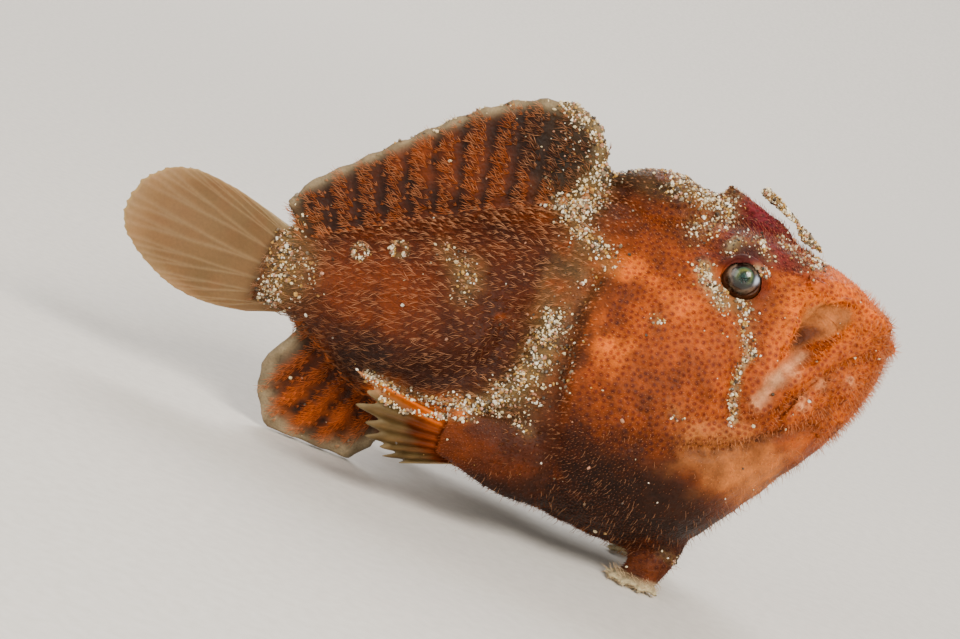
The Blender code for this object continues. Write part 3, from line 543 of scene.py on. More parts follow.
def evened(mesh, values, rounds):
    """Values at the mesh's points, averaged with their neighbours' the given number of times."""
    ends = np.empty(len(mesh.edges) * 2, np.int32)
    mesh.edges.foreach_get("vertices", ends)
    one, other = ends.reshape(-1, 2).T
    count = np.bincount(ends, minlength=len(values)).astype(float)
    values = values.reshape(len(values), -1)
    for _ in range(rounds):
        total = [np.bincount(one, column[other], len(values)) + np.bincount(other, column[one], len(values))
                 for column in values.T]
        values = 0.5 * values + 0.5 * np.stack(total, axis=1) / count[:, None]
    return values


def colour_points(mesh, name, colours):
    """Stores a colour or a single value at each point of the mesh."""
    colours = np.asarray(colours, float)
    if colours.ndim == 1:
        mesh.attributes.new(name, "FLOAT", "POINT").data.foreach_set("value", colours.astype(np.float32))
        return
    layer = mesh.attributes.new(name, "FLOAT_COLOR", "POINT")
    opaque = np.concatenate([np.clip(colours, 0, 1), np.ones((len(colours), 1))], axis=1)
    layer.data.foreach_set("color", opaque.astype(np.float32).ravel())


def copies(pattern, size, count):
    """The triangles of many like shapes, from one shape's triangles and its number of points."""
    return (np.array(pattern)[None] + size * np.arange(count)[:, None, None]).reshape(-1, 3)


def two_triangles(a, b, c, d):
    """Two triangles for each four-sided face, from arrays of its corners in turn."""
    return np.concatenate([np.stack([a, b, c], 1), np.stack([a, c, d], 1)])


def mesh_of(name, points, triangles):
    """A smooth mesh from arrays of points in the drawing frame and of triangles."""
    mesh = bpy.data.meshes.new(name)
    mesh.vertices.add(len(points))
    mesh.loops.add(triangles.size)
    mesh.polygons.add(len(triangles))
    mesh.loops.foreach_set("vertex_index", triangles.astype(np.int32).ravel())
    mesh.polygons.foreach_set("loop_start", np.arange(0, triangles.size, 3, dtype=np.int32))
    set_coordinates(mesh, points)
    mesh.update(calc_edges=True)
    mesh.shade_smooth()
    return mesh


def swollen_flesh(nodes, pads, by):
    """Some nodes as one mesh, each swollen so that it reaches its neighbours."""
    joined = bmesh.new()
    for name in nodes:
        part = bmesh.new()
        part.from_mesh(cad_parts[name].data)
        bmesh.ops.remove_doubles(part, verts=part.verts, dist=0.002 * MM)
        part.normal_update()
        for vertex in part.verts:
            vertex.co += vertex.normal * by * MM
        mesh = bpy.data.meshes.new("part")
        part.to_mesh(mesh)
        part.free()
        joined.from_mesh(mesh)
        remove_unused(mesh)
    for x, y, z, long, wide, high in pads:
        scale = Matrix.Diagonal((long * MM, wide * MM, high * MM, 1))
        where = Matrix.Translation((Vector((x, y, z)) + Vector(ZERO)) * MM)
        bmesh.ops.create_icosphere(joined, subdivisions=3, radius=1, matrix=where @ scale)
    mesh = bpy.data.meshes.new("flesh")
    joined.to_mesh(mesh)
    joined.free()
    return mesh


def remeshed(mesh, cell):
    """The mesh's outer surface as one even net of small faces."""
    carrier = linked("flesh", mesh)
    change = carrier.modifiers.new("net", "REMESH")
    change.mode = "VOXEL"
    change.voxel_size = cell
    graph = bpy.context.evaluated_depsgraph_get()
    net = bpy.data.meshes.new_from_object(carrier.evaluated_get(graph))
    bpy.data.objects.remove(carrier)
    remove_unused(mesh)
    return net


# The thickest flesh that is told apart, and how far under the skin the measuring starts.
THICKEST, UNDER_SKIN = 5.0, 0.02


def thickness(mesh, points, directions):
    """How thick the flesh is under each point, up to a few millimetres."""
    faces = [tuple(face.vertices) for face in mesh.polygons]
    tree = BVHTree.FromPolygons([Vector(p) for p in points], faces)
    found = np.full(len(points), THICKEST)
    for i, (point, direction) in enumerate(zip(points, directions)):
        inward = Vector(-direction)
        distance = tree.ray_cast(Vector(point) + inward * UNDER_SKIN, inward, THICKEST)[3]
        if distance is not None:
            found[i] = distance
    return found


def sculpted(points, directions):
    """The skin's points with its folds, pits and small lumps."""
    spots = as_drawn(points)
    facing = np.clip(np.abs(directions[:, 1]) * 1.6, 0, 1)
    height = -1.3 * inside(spots, GAPE, 1.0)
    for line, reach, rise in FOLDS:
        height += rise * near_line(spots, line, reach)
    for spot in ROSETTES:
        height += 0.25 * near_line(spots, [spot, spot], 0.6)
    height = height * facing + 0.12 * noise(points, 1.9, 5) + 0.07 * noise(points, 0.8, 6)
    return points + directions * height[:, None]


def ribbed(points, directions):
    """The skin's points with the rays of the dorsal and anal fins raised."""
    crest, on_fin = fin_rows(points)
    return points + directions * (0.14 * on_fin * (crest - 0.4) + 0.05 * noise(points, 0.7, 7))[:, None]


# How far the flesh is swollen so that its parts join, how far the rod is, and the rod's cells.
SWELL, ROD_SWELL, ROD_CELL = 0.22, -0.04, 0.13 * MM


def bare_skin():
    """The whole fish's skin as a mesh."""
    net = remeshed(swollen_flesh(FLESH, PADS, SWELL), settings().cell)
    set_coordinates(net, evened(net, coordinates(net), 3))
    points, outward = coordinates(net), normals(net)
    flesh = evened(net, thickness(net, points, outward) - 2 * SWELL, 6)[:, 0]
    depth = np.clip(0.12 * (flesh - 1), 0.02, settings().coat_depth / MM)
    body = np.clip((flesh - 1.2) / 2, 0, 1)[:, None]
    shaped = points - outward * (SWELL + depth)[:, None]
    shaped = ribbed(shaped, outward) * (1 - body) + sculpted(shaped, outward) * body
    spots = as_drawn(shaped)
    mouth = np.maximum(inside(spots, GAPE, 0.8), near_line(spots, INNER_LIP, 1.0))
    mouth = (mouth * off_middle(shaped, 2))[:, None]
    set_coordinates(net, shaped * (1 - mouth) + evened(net, shaped, 16) * mouth)
    return net


def bare_rod():
    """The lure rod's own skin as a mesh, a little thinner than its solid and lumpy."""
    net = remeshed(swollen_flesh(["illicium"], (), ROD_SWELL), ROD_CELL)
    points = evened(net, coordinates(net), 2)
    set_coordinates(net, points + normals(net) * 0.07 * noise(points, 0.5, 13)[:, None])
    return net


def feed(tree, node, inputs):
    """Sets a node's inputs, or links them to other nodes."""
    for socket, value in inputs.items():
        if isinstance(value, bpy.types.NodeSocket):
            tree.links.new(value, node.inputs[socket])
        else:
            node.inputs[socket].default_value = value


def add(tree, kind, inputs=(), stops=(), **options):
    """Adds a node, and sets its options, its inputs or their links, and a ramp's two stops."""
    node = tree.nodes.new(kind)
    for option, value in options.items():
        setattr(node, option, value)
    feed(tree, node, dict(inputs))
    for i, (where, colour) in enumerate(stops):
        node.color_ramp.elements[i].position = where
        node.color_ramp.elements[i].color = (*colour, 1)
    return node


def grey(value):
    """A grey as red, green and blue."""
    return (value,) * 3


# The options of a mix node that multiplies colours.
MULTIPLY = {"data_type": "RGBA", "blend_type": "MULTIPLY"}


def new_material(name):
    """A material, its node tree, its shader, and the places on the piece that wears it."""
    material = bpy.data.materials.new(name)
    material.use_nodes = True
    tree = material.node_tree
    where = add(tree, "ShaderNodeTexCoord").outputs["Object"]
    return material, tree, tree.nodes["Principled BSDF"], where


def grained_material(name, per_mm, detail, share, dark, light):
    """A material in its mesh's colours times a grain of so many lumps to a millimetre, and its parts."""
    material, tree, shader, where = new_material(name)
    grain = add(tree, "ShaderNodeTexNoise", {"Vector": where, "Scale": per_mm / MM, "Detail": detail})
    grain = grain.outputs["Fac"]
    tone = add(tree, "ShaderNodeValToRGB", {"Fac": grain}, [(0.3, grey(dark)), (0.7, grey(light))])
    marking = add(tree, "ShaderNodeAttribute", attribute_name="marking").outputs["Color"]
    colour = add(tree, "ShaderNodeMix", {0: share, 6: marking, 7: tone.outputs["Color"]}, **MULTIPLY)
    feed(tree, shader, {"Base Color": colour.outputs[2]})
    return material, tree, shader, grain


def skin_material():
    """Living skin: a faint net on the head, fine mottling, and a wet low gloss."""
    material, tree, shader, where = new_material("prickly_frogfish_skin")
    marking = add(tree, "ShaderNodeAttribute", attribute_name="marking").outputs["Color"]
    dotted = add(tree, "ShaderNodeAttribute", attribute_name="dotted").outputs["Fac"]
    # Faint wrinkles between the pores of the head, 2.1 to a millimetre.
    cells = add(tree, "ShaderNodeTexVoronoi", {"Vector": where, "Scale": 2.1 / MM, "Randomness": 0.8})
    cells = cells.outputs["Distance"]
    net = add(tree, "ShaderNodeValToRGB", {"Fac": cells}, [(0.2, (1.0, 1.0, 0.95)), (0.5, (1.3, 1.4, 1.4))])
    colour = add(tree, "ShaderNodeMix", {0: dotted, 6: marking, 7: net.outputs["Color"]}, **MULTIPLY)
    # The skin's own grain, with lumps of a fifth of a millimetre and finer ones on them.
    grain = add(tree, "ShaderNodeTexNoise", {"Vector": where, "Scale": 5.2 / MM, "Detail": 4.0})
    grain = grain.outputs["Fac"]
    tone = add(tree, "ShaderNodeValToRGB", {"Fac": grain}, [(0.3, grey(0.55)), (0.7, grey(1.15))])
    colour = add(tree, "ShaderNodeMix", {0: 0.6, 6: colour.outputs[2], 7: tone.outputs["Color"]}, **MULTIPLY)
    gloss = add(tree, "ShaderNodeValToRGB", {"Fac": grain}, [(0.3, grey(0.5)), (0.7, grey(0.7))])
    lumps = add(tree, "ShaderNodeMath", {0: cells, 1: grain}, operation="ADD").outputs[0]
    bump = add(tree, "ShaderNodeBump", {"Height": lumps, "Strength": 0.5, "Distance": 0.16 * MM})
    feed(tree, shader, {
        "Base Color": colour.outputs[2],
        "Normal": bump.outputs[0],
        "Roughness": gloss.outputs["Color"],
        "Specular IOR Level": 0.18,
        "Subsurface Weight": 0.06,
        "Subsurface Radius": (1.0, 0.35, 0.15),
        "Subsurface Scale": 0.7 * MM,
    })
    return material


def add_skin(name, net, nodes, silt, material):
    """Colours a skin, dulls it with a share of silt, and puts it in the scene."""
    points = coordinates(net)
    colour_points(net, "marking", blended(markings_and_painted_shade(points), "silt", np.full(len(points), silt)))
    colour_points(net, "dotted", faceness(points) * (1 - bareness(points)))
    net.shade_smooth()
    net.materials.clear()
    place(name, net, material, nodes)


class FROGFISH_OT_skin(bpy.types.Operator):
    """Makes one skin over all the flesh, and the lure rod's own"""

    bl_idname = "frogfish.skin"
    bl_label = "Skin"

    def execute(self, context):
        material = skin_material()
        add_skin("frogfish_skin", bare_skin(), FLESH, 0.0, material)
        add_skin("lure_rod", bare_rod(), ["illicium"], 0.7, material)
        return {"FINISHED"}


# The tail fin as drawn, its rays and its net of points, and how it bends to one side.
CAUDAL_ROOT = [(-39.0, 17.6), (-38.6, 15.6), (-38.5, 13.9), (-38.5, 12.3), (-38.9, 10.6)]
CAUDAL_MARGIN = [(-43.0, 18.7), (-47.4, 19.6), (-51.6, 19.6), (-54.5, 18.1), (-56.0, 15.3), (-55.6, 12.6),
                 (-53.0, 10.4), (-49.0, 8.9), (-45.0, 8.8), (-42.0, 9.3)]
CAUDAL_RAYS, CAUDAL_ROWS, CAUDAL_STEPS = 9, 44, 20
TAIL_SWING, TAIL_BEND_X, TAIL_BEND_LENGTH = math.radians(7), -39.0, 14.0


def smooth_line(line, count):
    """Evenly spaced points on a round curve through the given ones."""
    line = np.array(line, float)
    run = np.concatenate([[0], np.cumsum(np.linalg.norm(np.diff(line, axis=0), axis=1))])
    slopes = np.stack([np.gradient(axis, run) for axis in line.T], axis=1)
    places = np.linspace(0, run[-1], count)
    i = np.clip(np.searchsorted(run, places) - 1, 0, len(run) - 2)
    step = (run[i + 1] - run[i])[:, None]
    t = (places - run[i])[:, None] / step
    ends = (1 + 2 * t) * (1 - t) ** 2 * line[i] + t * t * (3 - 2 * t) * line[i + 1]
    return ends + step * (t * (1 - t) ** 2 * slopes[i] - t * t * (1 - t) * slopes[i + 1])


def branching(share, out):
    """How strongly each place lies on a ray of the tail fin, whose rays fork twice."""
    phase = share * (CAUDAL_RAYS - 1)
    phase = phase - np.round(phase)
    fork = 0.21 * np.clip((out - 0.22) / 0.4, 0, 1)
    twig = 0.11 * np.clip((out - 0.62) / 0.3, 0, 1)
    away = np.abs(np.abs(np.abs(phase) - fork) - twig)
    width = 0.10 - 0.055 * out
    return np.exp(-(away / width) ** 2)


def bent_tail(points):
    """Points of the tail fin swung to one side, more and more towards its margin."""
    x, y = points[:, 0] - TAIL_BEND_X, points[:, 1]
    turn = TAIL_SWING * np.clip(-x / TAIL_BEND_LENGTH, 0, 1)
    swung = TAIL_BEND_X + x * np.cos(turn) + y * np.sin(turn)
    return np.stack([swung, y * np.cos(turn) - x * np.sin(turn), points[:, 2]], axis=1)


def fan_grid(columns, rows):
    """Each place's share of the way along a fan, and from its root to its tips."""
    return np.meshgrid(np.linspace(0, 1, columns), np.linspace(0, 1, rows))


def on_both_faces(*grids):
    """Values at a fan's places, given again for its second face."""
    return [np.tile(values.ravel(), 2) for values in grids]


def fan(name, roots, tips, reach, half, sway):
    """A closed thin sheet from roots to tips, with the reach, half thickness and sway of each place."""
    rows, columns = reach.shape
    count = rows * columns
    middle = roots[None] + (tips - roots)[None] * reach[..., None]
    middle[..., 1] += sway
    aside = half[..., None] * (0, 1, 0)
    points = np.concatenate([(middle + aside).reshape(-1, 3), (middle - aside).reshape(-1, 3)])
    a = (np.arange(rows - 1)[:, None] * columns + np.arange(columns - 1)).ravel()
    face = two_triangles(a, a + 1, a + columns + 1, a + columns)
    rim = np.concatenate([np.arange(columns), np.arange(2 * columns - 1, count, columns),
                          np.arange(count - 2, count - columns - 1, -1),
                          np.arange(count - 2 * columns, 0, -columns)])
    after = np.roll(rim, -1)
    edge = np.concatenate([np.stack([rim, after + count, after], 1),
                           np.stack([rim, rim + count, after + count], 1)])
    return mesh_of(name, points, np.concatenate([face, face[:, ::-1] + count, edge]))


def tail_colours(points, ray, out, share):
    """The tail fin's colours: tan, warmer towards its root, and palest at its top and margin."""
    colours = np.tile(shade("tan"), (len(points), 1))
    colours = blended(colours, "silt", 0.25 * (1 - ray) + 0.45 * noise(points, 2.5, 8))
    colours = blended(colours, "orange", 0.16 * np.clip(0.6 - out, 0, 1) + 0.14 * noise(points, 1.7, 18))
    pale = 0.08 * ray + 0.3 * np.clip(1 - share * 9, 0, 1) + 0.15 * np.clip(out * 6 - 5, 0, 1)
    return 0.78 * blended(colours, "cream", pale)


def tail_fin_mesh():
    """The tail fin: a thin clear sheet over forking rays."""
    columns = CAUDAL_STEPS * (CAUDAL_RAYS - 1) + 1
    share, out = fan_grid(columns, CAUDAL_ROWS)
    roots, tips = (np.insert(smooth_line(line, columns), 1, 0, axis=1)
                   for line in (CAUDAL_ROOT, CAUDAL_MARGIN))
    ray = branching(share, out)
    crosswise = np.stack([share * 60, out * 0, out * 0], axis=-1).reshape(-1, 3)
    ragged = noise(crosswise, 1.0, 17).reshape(out.shape)
    reach = out * (0.98 + 0.012 * ray + 0.012 * ragged)
    half = 0.75 * (1 - out) ** 2 + 0.10 + 0.07 * ray * (1 - 0.6 * out)
    half *= np.where(out > 0.995, 0.2, 1)
    sway = 0.25 * out * np.sin(share * 7) + 0.12 * out * np.sin(share * 19 + 1)
    mesh = fan("tail_fin", roots, tips, reach, half, sway)
    points = bent_tail(coordinates(mesh))
    set_coordinates(mesh, points)
    colour_points(mesh, "marking", tail_colours(points, *on_both_faces(ray, out, share)))
    return mesh


# The left hand: the wrist it grows from, its finger tips from the top one down, and how far each reaches.
WRIST = [(-17.8, 10.9, 8.7), (-18.0, 10.9, 7.5), (-17.8, 10.7, 6.3)]
FINGER_REACH = [1.0, 0.93, 0.97, 0.90, 0.95, 0.87, 0.92, 0.9]
FINGER_TIPS = [(-29.8, 13.5, 10.7), (-29.2, 13.9, 8.9), (-29.0, 14.0, 7.4), (-28.2, 13.8, 6.3),
               (-27.8, 13.4, 5.3), (-26.6, 12.9, 4.6), (-25.9, 12.3, 4.1), (-24.4, 11.7, 3.8)]
FINGER_STEPS, FINGER_ROWS = 14, 40


def hand_colours(points, crest, out, share):
    """A hand's colours: the body's at its root, a vivid top finger with painted light, painted shade below
    it, dull pale tips and a painted glow on the lowest finger's edge.
    """
    outer, top = np.clip(out * 2.5 - 0.9, 0, 1), within(share, 0.14)
    colours = blended(markings_and_painted_shade(points), "rust", np.minimum(outer, 0.9))
    colours = blended(colours, "orange", 0.7 * within(share - 0.75, 0.2) * outer)
    # The top finger's vivid orange: partly its own colour, partly painted light falling on it from above.
    colours = blended(colours, "vivid", 0.95 * top * np.clip(out * 4 - 0.6, 0, 1))
    pale = np.clip((out - 0.62 + 0.2 * share + 0.1 * noise(points, 1.2, 41)) * 4, 0, 1)
    colours = blended(colours, "silt", pale * np.clip(0.1 + share * 5, 0, 1))
    colours = blended(colours, "tan", pale * crest * 0.3)
    # The lowest finger's pale edge is painted light shining through it from behind.
    palest = 0.2 * np.clip(out * 9 - 8, 0, 1) + 0.4 * np.clip(share * 16 - 15.2, 0, 1)
    colours = blended(colours, "cream", palest)
    # Painted shade on the outer webbing and fingers, all but the top finger.
    dim = 1 - np.clip(out * 2 - 0.7, 0, 0.5) * (1 - top)
    return colours * (dim * (1 + 0.3 * noise(points, 0.8, 4)))[:, None]


def hand_mesh(side):
    """A hand: webbed fingers that thin out to free tips."""
    fingers = len(FINGER_TIPS)
    columns = FINGER_STEPS * (fingers - 1) + 1
    share, out = fan_grid(columns, FINGER_ROWS)
    roots = smooth_line(WRIST, columns) * (1, side, 1)
    tips = along(FINGER_TIPS, np.linspace(0, 1, columns)) * (1, side, 1)
    crest = ray_crest(share, fingers)
    each = np.interp(share * (fingers - 1), range(fingers), FINGER_REACH)
    reach = out * each * (0.87 + 0.13 * crest ** 1.2 + 0.02 * np.sin(share * 31))
    half = 0.12 + 0.09 * crest * (1 - 0.6 * out) + 0.7 * (1 - out) ** 2
    half += 0.42 * within(share, 0.09) * (1 - 0.75 * out)
    half *= np.where(out > 0.99, 0.25, 1)
    sway = side * (0.35 * np.sin(out * 3) + 0.1 * crest)
    mesh = fan(f"hand_{SIDE_NAMES[side]}", roots, tips, reach, half, sway)
    colours = hand_colours(coordinates(mesh), *on_both_faces(crest, out, share))
    colour_points(mesh, "marking", colours)
    return mesh


def membrane_material(name, glow):
    """Thin fin skin with a fine grain. The light that passes through it comes out warm."""
    material, tree, shader, grain = grained_material(name, 3.5, 3.0, 0.35, 0.7, 1.1)
    gloss = add(tree, "ShaderNodeValToRGB", {"Fac": grain}, [(0.3, grey(0.36)), (0.7, grey(0.55))])
    bump = add(tree, "ShaderNodeBump", {"Height": grain, "Strength": 0.35, "Distance": 0.06 * MM})
    feed(tree, shader, {
        "Normal": bump.outputs[0],
        "Roughness": gloss.outputs["Color"],
        "Specular IOR Level": 0.4 * glow,
        "Subsurface Weight": glow,
        "Subsurface Radius": (1.0, 0.7, 0.4),
        "Subsurface Scale": 1.0 * MM,
    })
    return material


class FROGFISH_OT_thin_fins(bpy.types.Operator):
    """Makes the pale tail fin with its forking rays, and both hands"""

    bl_idname = "frogfish.thin_fins"
    bl_label = "Tail fin and hands"

    def execute(self, context):
        membrane, finger = membrane_material("fin_membrane", 0.5), membrane_material("finger_skin", 0.12)
        place("tail_fin", tail_fin_mesh(), membrane, ["caudal_fin"])
        for side, name in SIDE_NAMES.items():
            place(f"hand_{name}", hand_mesh(side), finger, [f"pectoral_fin_{name}"])
        return {"FINISHED"}


# An eye's ball and the clear dome on it: their radii, how much of a ball each is, and their nets of points.
EYE_RADIUS, EYE_HALF, EYE_RINGS, EYE_TURNS = 1.72, math.radians(150), 72, 96
CORNEA_RADIUS, CORNEA_HALF, CORNEA_RINGS, CORNEA_TURNS = 1.15, math.radians(88), 16, 48
# How far the dome's middle is from the ball's, and the half angle of the pupil.
CORNEA_RISE, PUPIL_HALF = 0.62, math.radians(31)


def eye_frame(side):
    """The place of an eye, and the direction it looks in, a little up and ahead."""
    low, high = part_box(f"eye_{SIDE_NAMES[side]}")
    centre = np.array((low + high) / 2) / MM - ZERO
    gaze = np.array([0.0, side * 0.96, 0.17])
    return centre, gaze / np.linalg.norm(gaze)


def turned(gaze):
    """Two directions square to the gaze and to each other."""
    across = np.cross(gaze, (0, 0, 1))
    across /= np.linalg.norm(across)
    return across, np.cross(gaze, across)


def cap(radius, half_angle, rings, turns):
    """A cap of a ball round +Z: its points and triangles, and each point's angles from and round +Z."""
    angle = np.repeat(np.linspace(0, half_angle, rings + 1)[1:], turns)
    round_it = np.tile(np.arange(turns) * math.tau / turns, rings)
    aside = np.sin(angle)
    points = radius * np.stack([aside * np.cos(round_it), aside * np.sin(round_it), np.cos(angle)], 1)
    points = np.concatenate([[[0, 0, radius]], points])
    a = np.arange(turns)
    b = (a + 1) % turns
    triangles = [np.stack([np.zeros(turns, int), 1 + a, 1 + b], 1)]
    for start in range(1, 1 + (rings - 1) * turns, turns):
        after = start + turns
        triangles.append(two_triangles(start + a, after + a, after + b, start + b))
    return points, np.concatenate(triangles), np.r_[0, angle], np.r_[0, round_it]


def toned(one, other, share):
    """Colours, each given as a hex code or an array, mixed by a share at each point."""
    one, other = (np.array(linear(tone)) if isinstance(tone, str) else tone for tone in (one, other))
    return one * (1 - share[:, None]) + other * share[:, None]


def pupil_colours(angle, round_it):
    """The pupil's colours: near black, with a painted green sheen on one side and a yellower painted sheen
    near its edge.
    """
    # Painted sheen: reflected light, strongest on one side of the pupil.
    painted_sheen = toned("#030807", "#235049", np.clip(0.35 + 0.9 * np.sin(angle) * -np.sin(round_it), 0, 1))
    return toned(painted_sheen, "#6f6f2c", 0.7 * within(angle - 0.36, 0.12) * (0.5 - 0.5 * np.sin(round_it)))


def eyeball_colours(angle, round_it, ahead, above, ragged):
    """An eyeball's colours: a dark pupil in grey-brown glass with paler arcs, and brown round that."""
    glass = 0.5 + 0.4 * np.cos(angle * 15 + 3.6 * ragged) + 0.3 * np.cos(round_it * 3 + 2 * ragged)
    colours = toned("#1d0f0b", "#75604f", 0.9 * np.clip(glass, 0, 1) ** 1.4)
    # A bluish fleck ahead of the pupil, and darker glass below it.
    fleck = np.exp(-((ahead - 0.66) / 0.16) ** 2 - ((above - 0.22) / 0.2) ** 2)
    colours = toned(colours, "#b4c2d4", np.clip(1.2 * fleck, 0, 0.9))
    colours = colours * (1 - 0.55 * np.clip(-above * 1.4, 0, 1))[:, None]
    colours = toned(colours, "#40200f", np.clip((angle - 0.9) / 0.3, 0, 1))
    colours = toned(colours, "#0d0b08", 0.85 * within(angle - PUPIL_HALF, 0.10))
    return toned(colours, pupil_colours(angle, round_it), np.clip((PUPIL_HALF - angle) / 0.03, 0, 1))


def eyeball_mesh(side):
    """An eyeball, coloured from the middle of its pupil outwards."""
    centre, gaze = eye_frame(side)
    points, triangles, angle, round_it = cap(EYE_RADIUS, EYE_HALF, EYE_RINGS, EYE_TURNS)
    # Past its visible front the ball spreads out to meet the wall of its socket.
    spread = 1 + 0.2 * np.clip((angle - math.radians(62)) / 0.35, 0, 1) * (angle < math.radians(110))
    placed = centre + (points * spread[:, None]) @ np.stack([*turned(gaze), gaze])
    ahead, _, above = (placed - centre).T / EYE_RADIUS
    colours = eyeball_colours(angle, round_it, ahead, above, noise(placed, 0.45, 11))
    mesh = mesh_of(f"eyeball_{SIDE_NAMES[side]}", placed, triangles)
    colour_points(mesh, "marking", colours)
    return mesh


def cornea_mesh(side):
    """The clear raised dome over the pupil."""
    centre, gaze = eye_frame(side)
    points, triangles, _, _ = cap(CORNEA_RADIUS, CORNEA_HALF, CORNEA_RINGS, CORNEA_TURNS)
    placed = centre + gaze * CORNEA_RISE + points @ np.stack([*turned(gaze), gaze])
    return mesh_of(f"cornea_{SIDE_NAMES[side]}", placed, triangles)


def eyeball_material():
    """A wet eyeball: smooth, with a thin film that gives small sharp lights."""
    material, tree, shader, _ = grained_material("wet_eyeball", 9.0, 3.0, 0.5, 0.6, 1.15)
    feed(tree, shader, {"Roughness": 0.16, "Coat Weight": 0.15, "Coat Roughness": 0.03})
    return material


def cornea_material():
    """Clear wet cornea, with a smooth face that hardly bends what is seen through it."""
    material, tree, shader, _ = new_material("clear_cornea")
    feed(tree, shader, {"Base Color": (1, 1, 1, 1), "Transmission Weight": 1.0})
    feed(tree, shader, {"Roughness": 0.02, "IOR": 1.09})
    return material


class FROGFISH_OT_eyes(bpy.types.Operator):
    """Makes both eyes, each an eyeball under a clear dome"""

    bl_idname = "frogfish.eyes"
    bl_label = "Eyes"

    def execute(self, context):
        wet, clear = eyeball_material(), cornea_material()
        for side, name in SIDE_NAMES.items():
            place(f"eyeball_{name}", eyeball_mesh(side), wet, [f"eye_{name}"])
            place(f"cornea_{name}", cornea_mesh(side), clear)
        return {"FINISHED"}


# How each part of the coat grows: the part of the skin it is on, the space between roots, a prickle's half
# width at its root, how far it bows over, how many share a root, how pale their tips are, and the slot.
Coat = namedtuple("Coat", "part space width bow forks pale slot")
COATS = {
    "flank": Coat("flank", 0.56, 0.040, math.radians(68), 3, 0.62, "flank_skin"),
    "down": Coat("flank", 0.34, 0.046, math.radians(60), 1, 0.12, "flank_skin"),
    "head": Coat("head", 0.26, 0.032, math.radians(44), 1, 0.40, "head_skin"),
    "fin": Coat("fin", 0.34, 0.048, math.radians(70), 3, 0.42, "fin_skin"),
    "hand": Coat("hand", 0.24, 0.040, math.radians(48), 1, 0.55, "hand_skin"),
    "rod": Coat("rod", 0.20, 0.032, math.radians(50), 2, 0.80, "spine_skin"),
}
FRINGE_SPACE, FRINGE_WIDTH, FRINGE_LENGTH, FRINGE_BOW = 0.27, 0.026, 0.85, math.radians(28)
# How far apart the prickles of one root splay, and the tilts of a prickle's halves as shares of its bow.
FORK_SPLAY, LOWER_BOW, UPPER_BOW = 0.38, 0.75, 1.2
# A prickle is two rings of three points and a tip: its faces, and each point's share of the way to the tip.
PRICKLE_FACES = [(0, 1, 4), (0, 4, 3), (1, 2, 5), (1, 5, 4), (2, 0, 3), (2, 3, 5), (3, 4, 6), (4, 5, 6),
                 (5, 3, 6)]
PRICKLE_FAR = [0, 0, 0, 0.5, 0.5, 0.5, 1.0]
PRICKLE_POINTS = len(PRICKLE_FAR)
# The space between pores, a pore's reach and how high its middle rises. Each ring of six points round that
# has a share of the reach, a height and a share of the tint.
PORE_SPACE, PORE_REACH, PORE_TOP, PORE_TINT = 0.5, 0.29, 0.045, (0.40, 0.20, 0.10)
PORE_RINGS = [(0.5, 0.035, 0.7), (1.0, 0.004, 0.0)]
# The size of a tuft's patch on the unwrap, and the least height of a hair's points over the ground.
PATCH, FLOOR = 0.003, 0.02
# As drawn: the dark patch of the dorsal fin's bristles, the hairy chin, and the crest of the horn.
DARK_BRISTLES, HAIRY_CHIN = (-20.2, 33.2, 4.6, 3.2), (10, 21, 7, 8)
HORN_CREST = [(-5.0, 34.6), (2.6, 32.6)]
# How many places are tried for roots on the skin and on the lure rod.
SKIN_TRIES, ROD_TRIES = 400000, 6000


def surface_places(mesh, count, random):
    """Random places spread evenly over a mesh: their triangles, the corners of these, and their shares."""
    mesh.calc_loop_triangles()
    corners = np.empty(len(mesh.loop_triangles) * 3, np.int32)
    mesh.loop_triangles.foreach_get("vertices", corners)
    corners = corners.reshape(-1, 3)
    one, two, three = coordinates(mesh)[corners].transpose(1, 0, 2)
    area = np.linalg.norm(np.cross(two - one, three - one), axis=1)
    chosen = random.choice(len(corners), count, p=area / area.sum())
    return chosen, corners[chosen], random.dirichlet((1, 1, 1), count)[:, :, None]


def on_surface(mesh, corners, share):
    """The points and outward directions at places given by surface_places."""
    outward = (normals(mesh)[corners] * share).sum(axis=1)
    outward /= np.linalg.norm(outward, axis=1)[:, None]
    return (coordinates(mesh)[corners] * share).sum(axis=1), outward


def skin_samples(name, count, random):
    """Random places on a skin, with its direction and its place on the unwrap of its own shape there."""
    skin = bpy.data.objects[name]
    unwrap_skin(skin)
    mesh = skin.data
    chosen, corners, share = surface_places(mesh, count, random)
    loops = np.empty(len(mesh.loop_triangles) * 3, np.int32)
    mesh.loop_triangles.foreach_get("loops", loops)
    flat = np.empty(len(mesh.loops) * 2, np.float32)
    mesh.uv_layers["unwrap"].data.foreach_get("uv", flat)
    unwrap = flat.reshape(-1, 2).astype(float)[loops.reshape(-1, 3)[chosen]]
    mesh.uv_layers.remove(mesh.uv_layers["unwrap"])
    return *on_surface(mesh, corners, share), (unwrap * share).sum(axis=1)


def picked(samples, keep):
    """Some of the samples."""
    return [values[keep] for values in samples]


def one_side(samples, side):
    """The samples on one side of the fish."""
    return picked(samples, samples[0][:, 1] * side > 0)


def spaced(points, space):
    """Which of the points to keep so that none is nearer than a space to another."""
    tree = KDTree(len(points))
    for i, point in enumerate(points):
        tree.insert(point, i)
    tree.balance()
    free, kept = np.ones(len(points), bool), []
    for i, point in enumerate(points):
        if free[i]:
            kept.append(i)
            free[[found[1] for found in tree.find_range(point, space)]] = False
    return np.array(kept, int)


def tangents(directions, along_way):
    """Unit directions along the skin, as near as can be to the wanted ones."""
    flat = along_way - directions * np.einsum("ij,ij->i", directions, along_way)[:, None]
    return flat / np.maximum(np.linalg.norm(flat, axis=1), 1e-6)[:, None]


